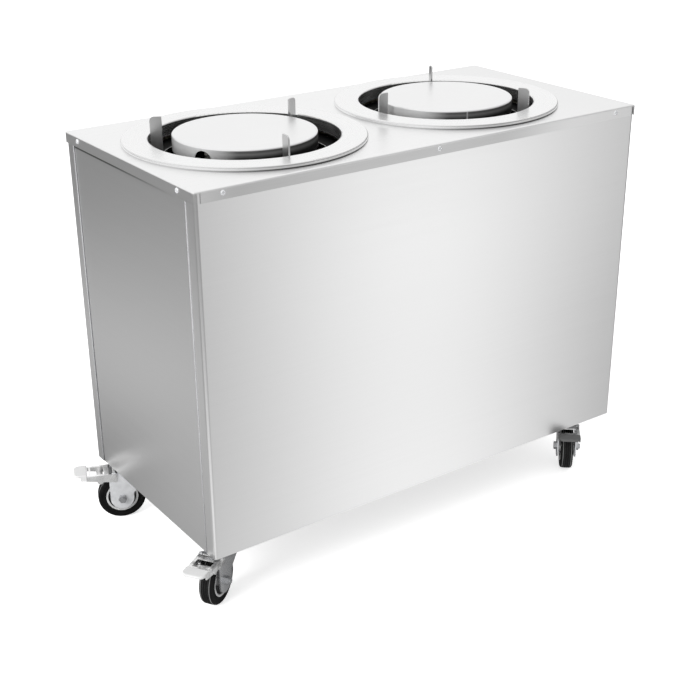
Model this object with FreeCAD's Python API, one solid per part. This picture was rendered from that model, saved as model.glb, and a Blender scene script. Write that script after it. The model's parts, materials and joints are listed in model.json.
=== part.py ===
import FreeCAD, Part
import math
import os

V = FreeCAD.Vector

# A heated plate dispenser: a sheet-metal cabinet on four casters with two round wells. In each well a sprung
# carriage lifts a stack of plates to the deck. Millimetres, +Z up, the floor at z = 0 under the middle of the
# cabinet, +X along the cabinet towards its control end.

# Plate disc and its carriage
disc_r = 122.0
disc_sheet = 1.5
disc_skirt = 26.0
disc_edge = 3.0
disc_rise = 12.0
notch_width = 34.0
notch_height = 20.0
lift_travel = 450.0
arm_drop = 48.0
arm_sheet = 5.0
arm_width = 26.0
arm_end_r = 18.0
hub_r = 45.0
column_r = 30.0
column_wall = 3.0
seat_flange_r = 60.0
seat_flange_sheet = 3.0

# Guide rods, bushes and lift springs
rod_offset = 30.0
rod_r = 5.0
rod_stud_r = 3.0
rod_nut_r = 5.5
rod_nut_height = 4.0
rods_per_well = 3
bush_wall = 4.0
bush_flange_r = 17.0
bush_flange_height = 3.0
bush_above = 17.0
bush_below = 20.0
running_fit = 0.05
seat_fit = 0.1
spring_r = 15.0
spring_wire_r = 1.0
spring_turns = 16
spring_end_gap = 0.6

# Guide fins, which stand round the stack and are set for the size of plate
fin_gap = 16.0
fin_width = 20.0
fin_sheet = 3.0
fin_rise = 37.0
fin_corner = 8.0
fin_travel = 12.0
fin_wall_gap = 3.0
fin_floor_gap = 0.3
fin_slot_gap = 0.3
fin_tab_height = 20.0
fin_tab_gap = 2.5
fin_bolt_r = 3.0
fin_bolt_inset = 3.0
fin_bolt_head_r = 5.5
fin_bolt_head = 4.0
fin_bolt_low = 21.0
fin_bolt_high = 14.0
bracket_sheet = 2.0
bracket_gap = 0.1
bracket_foot = 14.0
bracket_edge = 3.0

# Well ring, well tube and heating element
ring_width = 45.0
ring_rise = 7.0
ring_sheet = 1.2
ring_roll = 3.0
collar_depth = 16.0
collar_fit = 1.0
tube_step = 15.0
tube_sheet = 1.0
tube_drop = 28.0
tube_land = 11.0
element_r = 4.0
element_loop_r = 95.0
element_height = 14.0
element_gap_angle = 40.0
element_bend = 12.0
element_leg = 34.0
element_collar_r = 8.0
element_collar = 6.0
element_hole_gap = 1.2
element_post = 12.0

# Cabinet
ring_gap = 20.0
side_margin = 19.0
left_margin = 18.0
control_margin = 58.0
electrics_height = 72.0
heater_space = 61.0
deck_sheet = 1.5
deck_flange = 19.0
deck_bend = 3.0
deck_notch = 12.0
panel_sheet = 1.0
panel_bend = 6.0
panel_return = 27.0
panel_lap = 15.0
base_sheet = 1.5
base_flange = 25.0
floor_sheet = 1.5
board_sheet = 25.0
board_top_gap = 8.0
board_corner_gap = 1.0
partition_sheet = 20.0
partition_gap = 5.0
rail_nut_gap = 1.5
rail_height = 20.0
rail_sheet = 3.0
rail_end_gap = 1.0
screw_r = 2.0
screw_head_r = 4.5
screw_head = 2.2
screw_length = 8.0
screw_fit = 0.2
screw_drop = 8.5
flange_screw_inset = 50.0
end_screw_inset = 50.0

# Controls and supply inlet
control_drop = 120.0
control_width = 190.0
control_height = 100.0
control_lap = 10.0
control_sheet = 1.5
control_corner = 6.0
control_screw_inset = 5.0
control_edge = 40.0
thermostat_size = 42.0
thermostat_depth = 36.0
thermostat_neck_r = 5.0
thermostat_neck = 4.0
thermostat_shaft_r = 3.0
thermostat_shaft = 14.0
knob_r = 21.0
knob_grip_r = 15.0
knob_skirt = 3.0
knob_height = 17.0
knob_gap = 1.0
knob_edge = 1.0
knob_crown = 2.0
knob_rib = 3.0
knob_rib_drop = 3.0
knob_end_gap = 1.0
switch_width = 22.0
switch_height = 32.0
switch_depth = 26.0
switch_bezel = 3.0
switch_bezel_height = 2.0
switch_wall = 2.0
rocker_gap = 0.6
rocker_pin_r = 1.5
rocker_depth = 9.0
rocker_tilt = 8.0
rocker_rise = 1.0
rocker_heel = 3.0
rocker_heel_half = 4.0
rocker_dish = 2.0
rocker_edge = 0.8
rocker_pin_end = 0.8
rocker_hole_end = 1.5
lamp_r = 6.0
lamp_bezel_r = 8.5
lamp_depth = 24.0
lamp_dome = 5.0
lamp_bezel = 1.5
lamp_crown = 2.5
control_fit = 0.2
terminal_length = 60.0
terminal_width = 24.0
terminal_height = 20.0
terminal_inset = 150.0
gland_r = 8.0
gland_bore_r = 4.5
gland_flange_r = 12.0
gland_flange = 6.0
gland_nut = 5.0
gland_rise = 40.0
wire_hole_r = 12.0

# Casters
wheel_r = 45.0
tyre_depth = 15.0
tread_width = 24.0
tyre_shoulder = 5.0
tyre_groove = 1.0
hub_boss_r = 11.0
hub_web = 8.0
hub_rim = 4.0
hub_edge = 1.0
hub_fillet = 3.0
trail = 36.0
axle_r = 5.0
axle_flats = 14.0
axle_head = 6.0
axle_end = 3.0
hub_side_gap = 0.5
fork_side_gap = 4.5
fork_sheet = 2.5
fork_end_r = 22.0
fork_front = 24.0
fork_rear = 18.0
fork_neck = 13.0
fork_corner = 4.0
fork_shoulder = 8.0
bridge_sheet = 3.3
wheel_clear = 4.0
crown_r = 27.0
crown_height = 6.4
swivel_gap = 0.3
race_height = 5.0
king_r = 6.0
king_head_r = 10.0
king_head = 3.0
plate_sheet = 3.0
plate_length = 92.0
plate_width = 68.0
plate_corner = 8.0
plate_bolt_x = 66.0
plate_bolt_y = 46.0
caster_bolt_r = 4.0
caster_bolt_head_r = 7.0
caster_bolt_head = 4.0
caster_bolt_end = 2.0
caster_nut_flats = 13.0
caster_nut = 6.5
caster_bolt_fit = 0.3
caster_inset_x = 55.0
caster_inset_y = 65.0
pedal_offset = 12.0
pedal_drop = 1.3
pedal_ear_r = 5.5
pedal_pin_r = 2.5
pedal_gap = 0.3
pedal_sheet = 2.0
pedal_length = 62.0
pedal_side = 18.0
pedal_toe_side = 8.0
pedal_heel = 4.0
pedal_toe = 2.0
pedal_base = 3.0
pedal_window_start = 19.0
pedal_window_end = 43.0
pedal_slot_start = 46.0
pedal_slot_end = 49.0
pedal_window_rim = 6.0
pedal_pad = 12.0
pedal_pad_sheet = 6.0
pedal_pad_round = 2.5
pedal_shoe_r = 6.0
pedal_shoe_reach = 26.0
pedal_shoe_gap = 5.6
pedal_rivet_r = 4.0
pedal_rivet = 1.5

# Directions, in degrees anticlockwise from +X
fin_angle = {"left": 25.0, "right": 62.0}
notch_angle = {"left": 205.0, "right": 122.0}
caster_heading = {"front_left": 214.0, "rear_left": 158.0, "front_right": 229.0, "rear_right": 200.0}
knob_rest = 45.0
braked = ("front_left", "rear_left", "front_right", "rear_right")

# Sizes that follow
fin_inner_r = disc_r + fin_gap
well_bore_r = fin_inner_r + fin_width + fin_wall_gap
ring_outer_r = well_bore_r + ring_width
collar_outer_r = well_bore_r + ring_sheet
tube_r = well_bore_r + tube_step
tube_outer_r = tube_r + tube_sheet
rod_circle = disc_r + rod_offset
tube_mouth_r = rod_circle - tube_land
bush_r = rod_r + running_fit + bush_wall
fin_tab_r = tube_r - fin_tab_gap
fin_bolt_circle = fin_inner_r + fin_width - fin_bolt_inset

well_pitch = 2 * ring_outer_r + ring_gap
cabinet_length = well_pitch + 2 * ring_outer_r + left_margin + control_margin
cabinet_depth = 2 * (ring_outer_r + side_margin)
left_x = -cabinet_length / 2 + left_margin + ring_outer_r
wells = {"left": left_x, "right": left_x + well_pitch}

bridge_z = 2 * wheel_r + wheel_clear
crown_z = bridge_z + bridge_sheet
race_z = crown_z + crown_height + swivel_gap
plate_z = race_z + race_height
base_z = plate_z + plate_sheet
cabinet_height = electrics_height + heater_space + lift_travel + arm_drop
deck_z = base_z + cabinet_height
floor_z = base_z + electrics_height
disc_z = deck_z + disc_rise
arm_z = deck_z - arm_drop
tube_top_z = deck_z - tube_drop
fin_top_z = deck_z + fin_rise

deck_under_z = deck_z - deck_sheet
panel_top_z = deck_z - deck_bend
panel_x = cabinet_length / 2 - deck_sheet
panel_y = cabinet_depth / 2 - deck_sheet
end_x = panel_x - panel_sheet
inner_x = end_x - panel_sheet
inner_y = panel_y - panel_sheet
tray_x = inner_x - base_sheet
tray_y = inner_y - base_sheet
tray_z = base_z + base_sheet
base_corner = panel_bend - panel_sheet
rail_half = plate_bolt_x / 2 + caster_nut_flats / math.sqrt(3) + rail_nut_gap + rail_sheet
end_panel_half = panel_y - panel_return + panel_lap

stem_x = cabinet_length / 2 - caster_inset_x
stem_y = cabinet_depth / 2 - caster_inset_y
stems = {"front_left": V(-stem_x, -stem_y, 0), "rear_left": V(-stem_x, stem_y, 0),
         "front_right": V(stem_x, -stem_y, 0), "rear_right": V(stem_x, stem_y, 0)}
leg_in = tread_width / 2 + fork_side_gap
leg_out = leg_in + fork_sheet
hub_half = leg_in - hub_side_gap
hub_rim_r = wheel_r - tyre_depth
pedal_u = trail + pedal_offset
pedal_z = crown_z - pedal_drop

control_z = deck_z - control_drop
control_x = end_x + control_sheet
thermostat_y = control_edge - control_width / 2
switch_y = 0.0
lamp_y = control_width / 2 - control_edge
rocker_x = control_x - rocker_depth
gland_z = base_z + gland_rise


def polar(r, angle, z=0.0):
    """The point at a radius and an angle in degrees."""
    a = math.radians(angle)
    return V(r * math.cos(a), r * math.sin(a), z)


def box(x0, x1, y0, y1, z0, z1):
    return Part.makeBox(x1 - x0, y1 - y0, z1 - z0, V(x0, y0, z0))


def rod(r, start, end):
    return Part.makeCylinder(r, (end - start).Length, start, end - start)


def sleeve(r_out, r_in, start, end):
    return rod(r_out, start, end).cut(rod(r_in, start, end))


def outline(corners, place):
    """A closed wire through corners (a, b) or (a, b, radius), where a radius rounds that corner."""
    points = [V(c[0], c[1], 0) for c in corners]
    cuts = []
    for i, corner in enumerate(corners):
        p = points[i]
        radius = corner[2] if len(corner) > 2 else 0.0
        if radius <= 0:
            cuts.append((p, None, p))
            continue
        back = (points[i - 1] - p).normalize()
        ahead = (points[(i + 1) % len(points)] - p).normalize()
        half = back.getAngle(ahead) / 2
        reach = radius / math.tan(half)
        middle = (back + ahead).normalize() * (radius / math.sin(half) - radius)
        cuts.append((p + back * reach, p + middle, p + ahead * reach))
    edges = []
    for i, (start, mid, end) in enumerate(cuts):
        if mid is not None:
            edges.append(Part.Arc(*[place(q.x, q.y) for q in (start, mid, end)]).toShape())
        following = cuts[(i + 1) % len(cuts)][0]
        if (following - end).Length > 1e-6:
            edges.append(Part.LineSegment(place(end.x, end.y), place(following.x, following.y)).toShape())
    return Part.Wire(edges)


def prism(corners, z0, z1):
    """A plan outline raised from z0 to z1."""
    face = Part.Face(outline(corners, lambda x, y: V(x, y, z0)))
    return face.extrude(V(0, 0, z1 - z0))


def slab(corners, y0, y1):
    """An outline in x and z, carried from y0 to y1."""
    face = Part.Face(outline(corners, lambda x, z: V(x, y0, z)))
    return face.extrude(V(0, y1 - y0, 0))


def turned(corners):
    """An outline in radius and height, turned about the Z axis."""
    face = Part.Face(outline(corners, lambda r, z: V(r, 0, z)))
    return face.revolve(V(0, 0, 0), V(0, 0, 1), 360)


def rectangle(x0, x1, y0, y1, radius=0.0):
    return [(x0, y0, radius), (x1, y0, radius), (x1, y1, radius), (x0, y1, radius)]


def hexagon(flats, start, end):
    """A hexagonal bar between two points."""
    axis = end - start
    corner_r = flats / math.sqrt(3)
    corners = [polar(corner_r, 60 * k) for k in range(6)]
    face = Part.Face(Part.makePolygon(corners + corners[:1]))
    bar = face.extrude(V(0, 0, axis.Length))
    bar.Placement = FreeCAD.Placement(start, FreeCAD.Rotation(V(0, 0, 1), axis))
    return bar


def turn(shape, angle, centre=V(0, 0, 0), axis=V(0, 0, 1)):
    copy = shape.copy()
    copy.rotate(centre, axis, angle)
    return copy


def shift(shape, move):
    copy = shape.copy()
    copy.translate(move)
    return copy


def fuse(shapes):
    return shapes[0].multiFuse(shapes[1:]).removeSplitter()


def export(name, *solids):
    shape = solids[0] if len(solids) == 1 else Part.makeCompound(list(solids))
    shape.exportStep("parts/" + name + ".step")


def three_round(first):
    return [first + 120.0 * k for k in range(rods_per_well)]


# Cabinet shell
def flange_screws():
    """Places and outward directions of the screws in the deck's flange."""
    z = deck_z - screw_drop
    places = []
    for side in (-1, 1):
        for k in (-1, 0, 1):
            x = k * (cabinet_length / 2 - flange_screw_inset)
            places.append((V(x, side * cabinet_depth / 2, z), V(0, side, 0)))
        for k in (-1, 1):
            y = k * (cabinet_depth / 2 - end_screw_inset)
            places.append((V(side * cabinet_length / 2, y, z), V(side, 0, 0)))
    return places


def control_screws():
    """Places and outward directions of the control panel's screws."""
    half_y = control_width / 2 - control_screw_inset
    half_z = control_height / 2 - control_screw_inset
    places = []
    for sy in (-1, 1):
        for sz in (-1, 1):
            places.append((V(control_x, sy * half_y, control_z + sz * half_z), V(1, 0, 0)))
    return places


def screw(place, outward):
    """A pan-head screw with a round recess, its head standing on the surface at the place."""
    head = turned([(0, 0), (screw_head_r, 0), (screw_head_r, screw_head, screw_head * 0.8), (0, screw_head)])
    recess = Part.makeCylinder(screw_r * 0.7, screw_head / 2, V(0, 0, screw_head / 2))
    shank = Part.makeCylinder(screw_r, screw_length, V(0, 0, -screw_length))
    shape = head.fuse(shank).cut(recess)
    shape.Placement = FreeCAD.Placement(place, FreeCAD.Rotation(V(0, 0, 1), outward))
    return shape


def screw_holes():
    holes = []
    for place, outward in flange_screws() + control_screws():
        holes.append(rod(screw_r + screw_fit, place + outward, place - outward * screw_length))
    return Part.makeCompound(holes)


def channel_panel():
    """The front panel: a sheet with a return bent round each end."""
    x, y, s, b, r = panel_x, -panel_y, panel_sheet, panel_bend, panel_return
    corners = [(-x, y + r), (-x, y, b), (x, y, b), (x, y + r),
               (x - s, y + r), (x - s, y + s, b - s), (-x + s, y + s, b - s), (-x + s, y + r)]
    return prism(corners, base_z, panel_top_z)


def cap(half_x, half_y, z0, z1, bend):
    """A block whose top edges and upright corners are rounded."""
    block = box(-half_x, half_x, -half_y, half_y, z0, z1)
    rounded = []
    for edge in block.Edges:
        z_mid = edge.CenterOfMass.z
        if abs(z_mid - z0) > 1e-6:
            rounded.append(edge)
    return block.makeFillet(bend, rounded)


def top_deck():
    """A folded cap with a hole for each well, its long flanges cut short at the corners."""
    half_x = cabinet_length / 2
    half_y = cabinet_depth / 2
    low = deck_z - deck_flange
    outer = cap(half_x, half_y, low, deck_z, deck_bend)
    in_x, in_y = half_x - deck_sheet, half_y - deck_sheet
    inner = cap(in_x, in_y, low - deck_sheet, deck_under_z, deck_bend - deck_sheet)
    deck = outer.cut(inner)
    notch_top = deck_z - deck_bend
    for sx in (-1, 1):
        for sy in (-1, 1):
            notch = box(half_x - deck_notch, half_x - deck_bend, half_y - deck_bend, half_y, low, notch_top)
            if sx < 0:
                notch = notch.mirror(V(0, 0, 0), V(1, 0, 0))
            if sy < 0:
                notch = notch.mirror(V(0, 0, 0), V(0, 1, 0))
            deck = deck.cut(notch)
    for x in wells.values():
        deck = deck.cut(rod(collar_outer_r + collar_fit, V(x, 0, low), V(x, 0, deck_z + deck_sheet)))
    return deck.cut(screw_holes())


def open_tray(half_x, half_y, low, high, sheet, corner):
    """A shallow tray, open upwards, with rounded upright corners."""
    outer = prism(rectangle(-half_x, half_x, -half_y, half_y, corner), low, high)
    hollow = prism(rectangle(sheet - half_x, half_x - sheet, sheet - half_y, half_y - sheet, corner - sheet),
                   low + sheet, high)
    return outer.cut(hollow)


def caster_bolt_places(stem):
    return [stem + V(sx * plate_bolt_x / 2, sy * plate_bolt_y / 2, 0) for sx in (-1, 1) for sy in (-1, 1)]


def caster_bolt_holes():
    holes = []
    for stem in stems.values():
        for place in caster_bolt_places(stem):
            low = place + V(0, 0, plate_z - plate_sheet)
            high = place + V(0, 0, tray_z + rail_height)
            holes.append(rod(caster_bolt_r + caster_bolt_fit, low, high))
    return Part.makeCompound(holes)


def caster_rail(x):
    """A channel, open upwards, that spreads the load of two casters over the tray."""
    half = tray_y - floor_sheet - rail_end_gap
    outer = box(x - rail_half, x + rail_half, -half, half, tray_z, tray_z + rail_height)
    clear = rail_half - rail_sheet
    hollow = box(x - clear, x + clear, -half, half, tray_z + rail_sheet, tray_z + rail_height)
    return outer.cut(hollow)


def element_leg_places(x):
    """Places of a heating element's two legs on the floor."""
    half = element_gap_angle / 2
    places = []
    for side in (-1, 1):
        end = polar(element_loop_r, side * half)
        tangent = polar(element_bend, side * half - side * 90)
        places.append(V(x, 0, 0) + end + tangent)
    return places


def heater_deck():
    """The chambers' floor, folded down all round to stand on the base tray, with posts for the elements."""
    corner = base_corner - base_sheet
    outer = prism(rectangle(-tray_x, tray_x, -tray_y, tray_y, corner), tray_z, floor_z)
    in_x, in_y = tray_x - floor_sheet, tray_y - floor_sheet
    hollow = prism(rectangle(-in_x, in_x, -in_y, in_y, corner - floor_sheet), tray_z, floor_z - floor_sheet)
    deck = outer.cut(hollow)
    wire_x = tray_x - 2 * wire_hole_r
    holes = [rod(wire_hole_r, V(wire_x, 0, tray_z), V(wire_x, 0, floor_z))]
    holes.append(rod(gland_r + control_fit, V(inner_x, 0, gland_z), V(tray_x - 2 * floor_sheet, 0, gland_z)))
    posts = []
    half = element_post / 2
    top = floor_z + element_height - element_r - fin_floor_gap
    for x in wells.values():
        for place in element_leg_places(x):
            holes.append(rod(element_r + element_hole_gap, place + V(0, 0, tray_z), place + V(0, 0, floor_z)))
        for angle in (90, 180, 270):
            at = V(x, 0, 0) + polar(element_loop_r, angle)
            posts.append(box(at.x - half, at.x + half, at.y - half, at.y + half, floor_z - floor_sheet, top))
    return fuse([deck.cut(Part.makeCompound(holes))] + posts)


def insulation_boards():
    """Boards inside the front, rear and left end, and one between the right well and the controls."""
    top = deck_z - deck_flange - board_top_gap
    board_in = inner_y - board_sheet
    left_end = -panel_x + panel_bend + board_corner_gap
    partition_x = wells["right"] + tube_outer_r + partition_gap
    boards = []
    for side in (-1, 1):
        near, far = sorted((side * inner_y, side * board_in))
        boards.append(box(left_end, partition_x + partition_sheet, near, far, floor_z, top))
    boards.append(box(-inner_x, -inner_x + board_sheet, -board_in, board_in, floor_z, top))
    boards.append(box(partition_x, partition_x + partition_sheet, -board_in, board_in, floor_z, top))
    return boards


# Wells
def well_ring(x):
    """A spun ring that stands on the deck by its outer edge, with a collar down into the well."""
    s = ring_sheet
    top = ring_rise
    section = [(ring_outer_r, 0), (ring_outer_r, top, ring_roll), (well_bore_r, top, ring_roll),
               (well_bore_r, -collar_depth), (collar_outer_r, -collar_depth),
               (collar_outer_r, top - s, ring_roll - s), (ring_outer_r - s, top - s, ring_roll - s),
               (ring_outer_r - s, 0)]
    return shift(turned(section), V(x, 0, deck_z))


def well_tube(side):
    """A tube on the floor with a flange turned in at its top, holed for the rods and slotted for the fins."""
    section = [(tube_outer_r, floor_z), (tube_outer_r, tube_top_z), (tube_mouth_r, tube_top_z),
               (tube_mouth_r, tube_top_z - tube_sheet), (tube_r, tube_top_z - tube_sheet), (tube_r, floor_z)]
    shape = turned(section)
    low = tube_top_z - 2 * tube_sheet
    high = tube_top_z + tube_sheet
    for angle in three_round(fin_angle[side]):
        half = fin_sheet / 2 + fin_slot_gap
        slot = box(tube_mouth_r - fin_width, fin_inner_r + fin_width + fin_slot_gap, -half, half, low, high)
        shape = shape.cut(turn(slot, angle))
        at = polar(rod_circle, angle + 60)
        shape = shape.cut(rod(rod_stud_r + running_fit, at + V(0, 0, low), at + V(0, 0, high)))
    return shift(shape, V(wells[side], 0, 0))


def guide_rods(side):
    """Rods that stand on the floor and are nutted through the tube's flange."""
    rods = []
    flange_low = tube_top_z - tube_sheet
    for angle in three_round(fin_angle[side] + 60):
        at = V(wells[side], 0, 0) + polar(rod_circle, angle)
        bar = rod(rod_r, at + V(0, 0, floor_z), at + V(0, 0, flange_low))
        stud = rod(rod_stud_r, at + V(0, 0, flange_low), at + V(0, 0, tube_top_z))
        nut = rod(rod_nut_r, at + V(0, 0, tube_top_z), at + V(0, 0, tube_top_z + rod_nut_height))
        rods.append(fuse([bar, stud, nut]))
    return rods


def spring_height(turns, length):
    """Height and slope of a spring's centre line after some turns: close end turns, even turns between."""
    close = 2 * spring_wire_r + spring_end_gap
    active = spring_turns - 3
    pitch = (length - 2 * spring_wire_r - 3 * close) / active
    lift = pitch - close

    def risen(t):
        t = min(max(t, 0.0), active + 1.0)
        if t < 1:
            return t * t / 2
        if t > active:
            return active - (active + 1 - t) ** 2 / 2
        return t - 0.5

    def slope(t):
        return max(0.0, min(1.0, t, active + 1 - t))

    t = turns - 1
    return spring_wire_r + close * turns + lift * risen(t), close + lift * slope(t)


def arc_edge(start, end, tangent, at_end):
    """A circular arc between two points with the given direction at its start, or at its end."""
    chord = end - start
    along = chord.normalize() if chord.Length else chord
    length = (end - start).Length
    cosine = tangent.dot(along)
    normal = tangent - along * cosine
    angle = math.atan2(normal.Length, cosine)
    normal = normal.normalize() * (-1 if at_end else 1)
    middle = (start + end) * 0.5 + normal * (length / 2 * math.tan(angle / 2))
    return Part.Arc(start, middle, end).toShape()


def swept(edges, start, tangent, r):
    """A round wire of radius r carried along a path."""
    sweep = Part.BRepOffsetAPI.MakePipeShell(Part.Wire(edges))
    sweep.add(Part.Wire([Part.Edge(Part.Circle(start, tangent, r))]))
    sweep.build()
    sweep.makeSolid()
    return sweep.shape()


def lift_spring():
    """One compression spring on the Z axis, its helix made of two arcs to each quarter turn."""
    length = arm_z - bush_flange_height - floor_z

    def point(turns):
        return polar(spring_r, 360 * turns, spring_height(turns, length)[0])

    def tangent(turns):
        rise = spring_height(turns, length)[1] / (2 * math.pi)
        return (polar(spring_r, 360 * turns + 90) + V(0, 0, rise)).normalize()

    edges = []
    quarters = 4 * spring_turns
    for k in range(quarters):
        p0, p1 = point(k / 4), point((k + 1) / 4)
        t0, t1 = tangent(k / 4), tangent((k + 1) / 4)
        chord = p1 - p0
        both = chord.dot(t0 + t1)
        bend = 2 * (1 - t0.dot(t1))
        reach = (math.sqrt(both * both + bend * chord.dot(chord)) - both) / bend
        joint = (p0 + p1 + (t0 - t1) * reach) * 0.5
        edges.append(arc_edge(p0, joint, t0, False))
        edges.append(arc_edge(joint, p1, t1, True))
    samples = [point(k / 24) for k in range(24 * spring_turns + 1)]
    gap = min((samples[i] - samples[j]).Length for i in range(len(samples))
              for j in range(i + 12, min(i + 37, len(samples)))) - 2 * spring_wire_r
    print("lift spring: least gap between turns", round(gap, 2), "mm")
    return shift(swept(edges, point(0), tangent(0), spring_wire_r), V(0, 0, floor_z))


def lift_springs(side, spring):
    return [shift(turn(spring, angle), V(wells[side], 0, 0) + polar(rod_circle, angle))
            for angle in three_round(fin_angle[side] + 60)]


def heating_element(x):
    """A sheathed element bent into a loop, its two legs going down through the floor."""
    half = element_gap_angle / 2
    z = floor_z + element_height
    low = floor_z - element_leg
    first, last = element_leg_places(0)
    start, end = polar(element_loop_r, -half, z), polar(element_loop_r, half, z)

    def bend(leg, loop_end):
        middle = (leg + loop_end) * 0.5
        turn_z = z - element_bend
        foot = V(leg.x, leg.y, turn_z)
        centre = V(loop_end.x, loop_end.y, turn_z)
        outward = (foot - centre) + (loop_end - centre)
        middle = centre + outward.normalize() * element_bend
        return foot, middle

    foot_a, mid_a = bend(first, start)
    foot_b, mid_b = bend(last, end)
    far = polar(element_loop_r, 180, z)
    base_a = V(foot_a.x, foot_a.y, low)
    base_b = V(foot_b.x, foot_b.y, low)
    edges = [Part.LineSegment(base_a, foot_a).toShape(), Part.Arc(foot_a, mid_a, start).toShape(),
             Part.Arc(start, polar(element_loop_r, -90 - half / 2, z), far).toShape(),
             Part.Arc(far, polar(element_loop_r, 90 + half / 2, z), end).toShape(),
             Part.Arc(end, mid_b, foot_b).toShape(), Part.LineSegment(foot_b, base_b).toShape()]
    loop = swept(edges, base_a, V(0, 0, 1), element_r)
    collars = [rod(element_collar_r, V(p.x, p.y, floor_z), V(p.x, p.y, floor_z + element_collar))
               for p in (foot_a, foot_b)]
    return shift(fuse([loop] + collars), V(x, 0, 0))


# Guide fins and their brackets, made along +X and turned to their place
def fin_bolt_heights():
    return (floor_z + fin_bolt_low, tube_top_z - fin_bolt_high)


def guide_fin():
    """A flat bar on edge with two tabs, each slotted for a clamp bolt, and a rounded outer top corner."""
    outer = fin_inner_r + fin_width
    half = fin_sheet / 2
    low = floor_z + fin_floor_gap
    fin = slab([(fin_inner_r, low), (outer, low), (outer, fin_top_z, fin_corner),
                (fin_inner_r, fin_top_z, half)], -half, half)
    slot_r = fin_bolt_r + fin_slot_gap
    for z in fin_bolt_heights():
        tab = box(fin_inner_r, fin_tab_r, -half, half, z - fin_tab_height / 2, z + fin_tab_height / 2)
        fin = fin.fuse(tab)
    for z in fin_bolt_heights():
        near = fin_bolt_circle - slot_r
        far = fin_bolt_circle + fin_travel + slot_r
        slot = slab(rectangle(near, far, z - slot_r, z + slot_r, slot_r * 0.999), -fin_sheet, fin_sheet)
        fin = fin.cut(slot)
    return fin.removeSplitter()


def fin_bracket(high):
    """An angle beside the fin: its foot is on the floor, or under the tube's flange for the upper one."""
    near = fin_sheet / 2 + bracket_gap
    in_r = tube_mouth_r + bracket_edge
    low_bolt, high_bolt = fin_bolt_heights()
    reach = fin_tab_height / 2
    if high:
        z0, z1 = high_bolt - reach, tube_top_z - tube_sheet
        foot = box(in_r, fin_tab_r, near, near + bracket_foot, z1 - bracket_sheet, z1)
        bolt_z = high_bolt
    else:
        z0, z1 = floor_z, low_bolt + reach
        foot = box(in_r, fin_tab_r, near, near + bracket_foot, z0, z0 + bracket_sheet)
        bolt_z = low_bolt
    web = box(in_r, fin_tab_r, near, near + bracket_sheet, z0, z1)
    at = V(fin_bolt_circle, 0, bolt_z)
    return fuse([web, foot]).cut(rod(fin_bolt_r + seat_fit, at, at + V(0, near + bracket_foot, 0)))


def fin_bolt(z):
    """A clamp bolt through the fin's slot and the bracket, with its nut behind the bracket."""
    half = fin_sheet / 2
    behind = half + bracket_gap + bracket_sheet
    start = -half - bracket_gap
    at = V(fin_bolt_circle, 0, z)
    head = rod(fin_bolt_head_r, at + V(0, start - fin_bolt_head, 0), at + V(0, start, 0))
    shank = rod(fin_bolt_r, at + V(0, start, 0), at + V(0, behind + fin_bolt_head, 0))
    nut = hexagon(2 * fin_bolt_head_r * 0.9, at + V(0, behind, 0), at + V(0, behind + fin_bolt_head, 0))
    return fuse([head, shank, nut])


# Lift carriages
def plate_disc(side):
    """A flat disc with a turned-down skirt that has one arched finger notch."""
    s = disc_sheet
    low = disc_z - disc_skirt
    section = [(0, disc_z), (disc_r, disc_z, disc_edge), (disc_r, low), (disc_r - s, low),
               (disc_r - s, disc_z - s, disc_edge - s), (0, disc_z - s)]
    half = notch_width / 2
    arch = prism([(low - disc_sheet, -half), (low + notch_height, -half, half * 0.99),
                  (low + notch_height, half, half * 0.99), (low - disc_sheet, half)], 0, 2 * disc_skirt)
    arch.Placement = FreeCAD.Placement(V(disc_r + disc_skirt, 0, 0), FreeCAD.Rotation(V(0, 1, 0), -90))
    return shift(turned(section).cut(turn(arch, notch_angle[side])), V(wells[side], 0, 0))


def carrier(side):
    """Three arms on a hub, a column above them and the flange that the disc is fixed to."""
    top = disc_z - disc_sheet
    hole_r = bush_r + seat_fit
    arms = [Part.makeCylinder(hub_r, arm_sheet, V(0, 0, arm_z))]
    for angle in three_round(fin_angle[side] + 60):
        arm = box(0, rod_circle, -arm_width / 2, arm_width / 2, arm_z, arm_z + arm_sheet)
        arms.append(turn(arm, angle))
        arms.append(Part.makeCylinder(arm_end_r, arm_sheet, polar(rod_circle, angle, arm_z)))
    arms.append(Part.makeCylinder(column_r, top - arm_z, V(0, 0, arm_z)))
    arms.append(Part.makeCylinder(seat_flange_r, seat_flange_sheet, V(0, 0, top - seat_flange_sheet)))
    shape = fuse(arms)
    shape = shape.cut(Part.makeCylinder(column_r - column_wall, top - arm_z, V(0, 0, arm_z)))
    for angle in three_round(fin_angle[side] + 60):
        shape = shape.cut(Part.makeCylinder(hole_r, arm_sheet, polar(rod_circle, angle, arm_z)))
    return shift(shape, V(wells[side], 0, 0))


def slide_bushes(side):
    """Flanged bushes: the flange is under the arm and the spring pushes on it."""
    bore_r = rod_r + running_fit
    under = arm_z - bush_flange_height
    low, high = under - bush_below, arm_z + bush_above
    section = [(bore_r, low), (bush_r, low), (bush_r, under), (bush_flange_r, under), (bush_flange_r, arm_z),
               (bush_r, arm_z), (bush_r, high), (bore_r, high)]
    bush = turned(section)
    return [shift(bush, V(wells[side], 0, 0) + polar(rod_circle, angle))
            for angle in three_round(fin_angle[side] + 60)]


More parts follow.
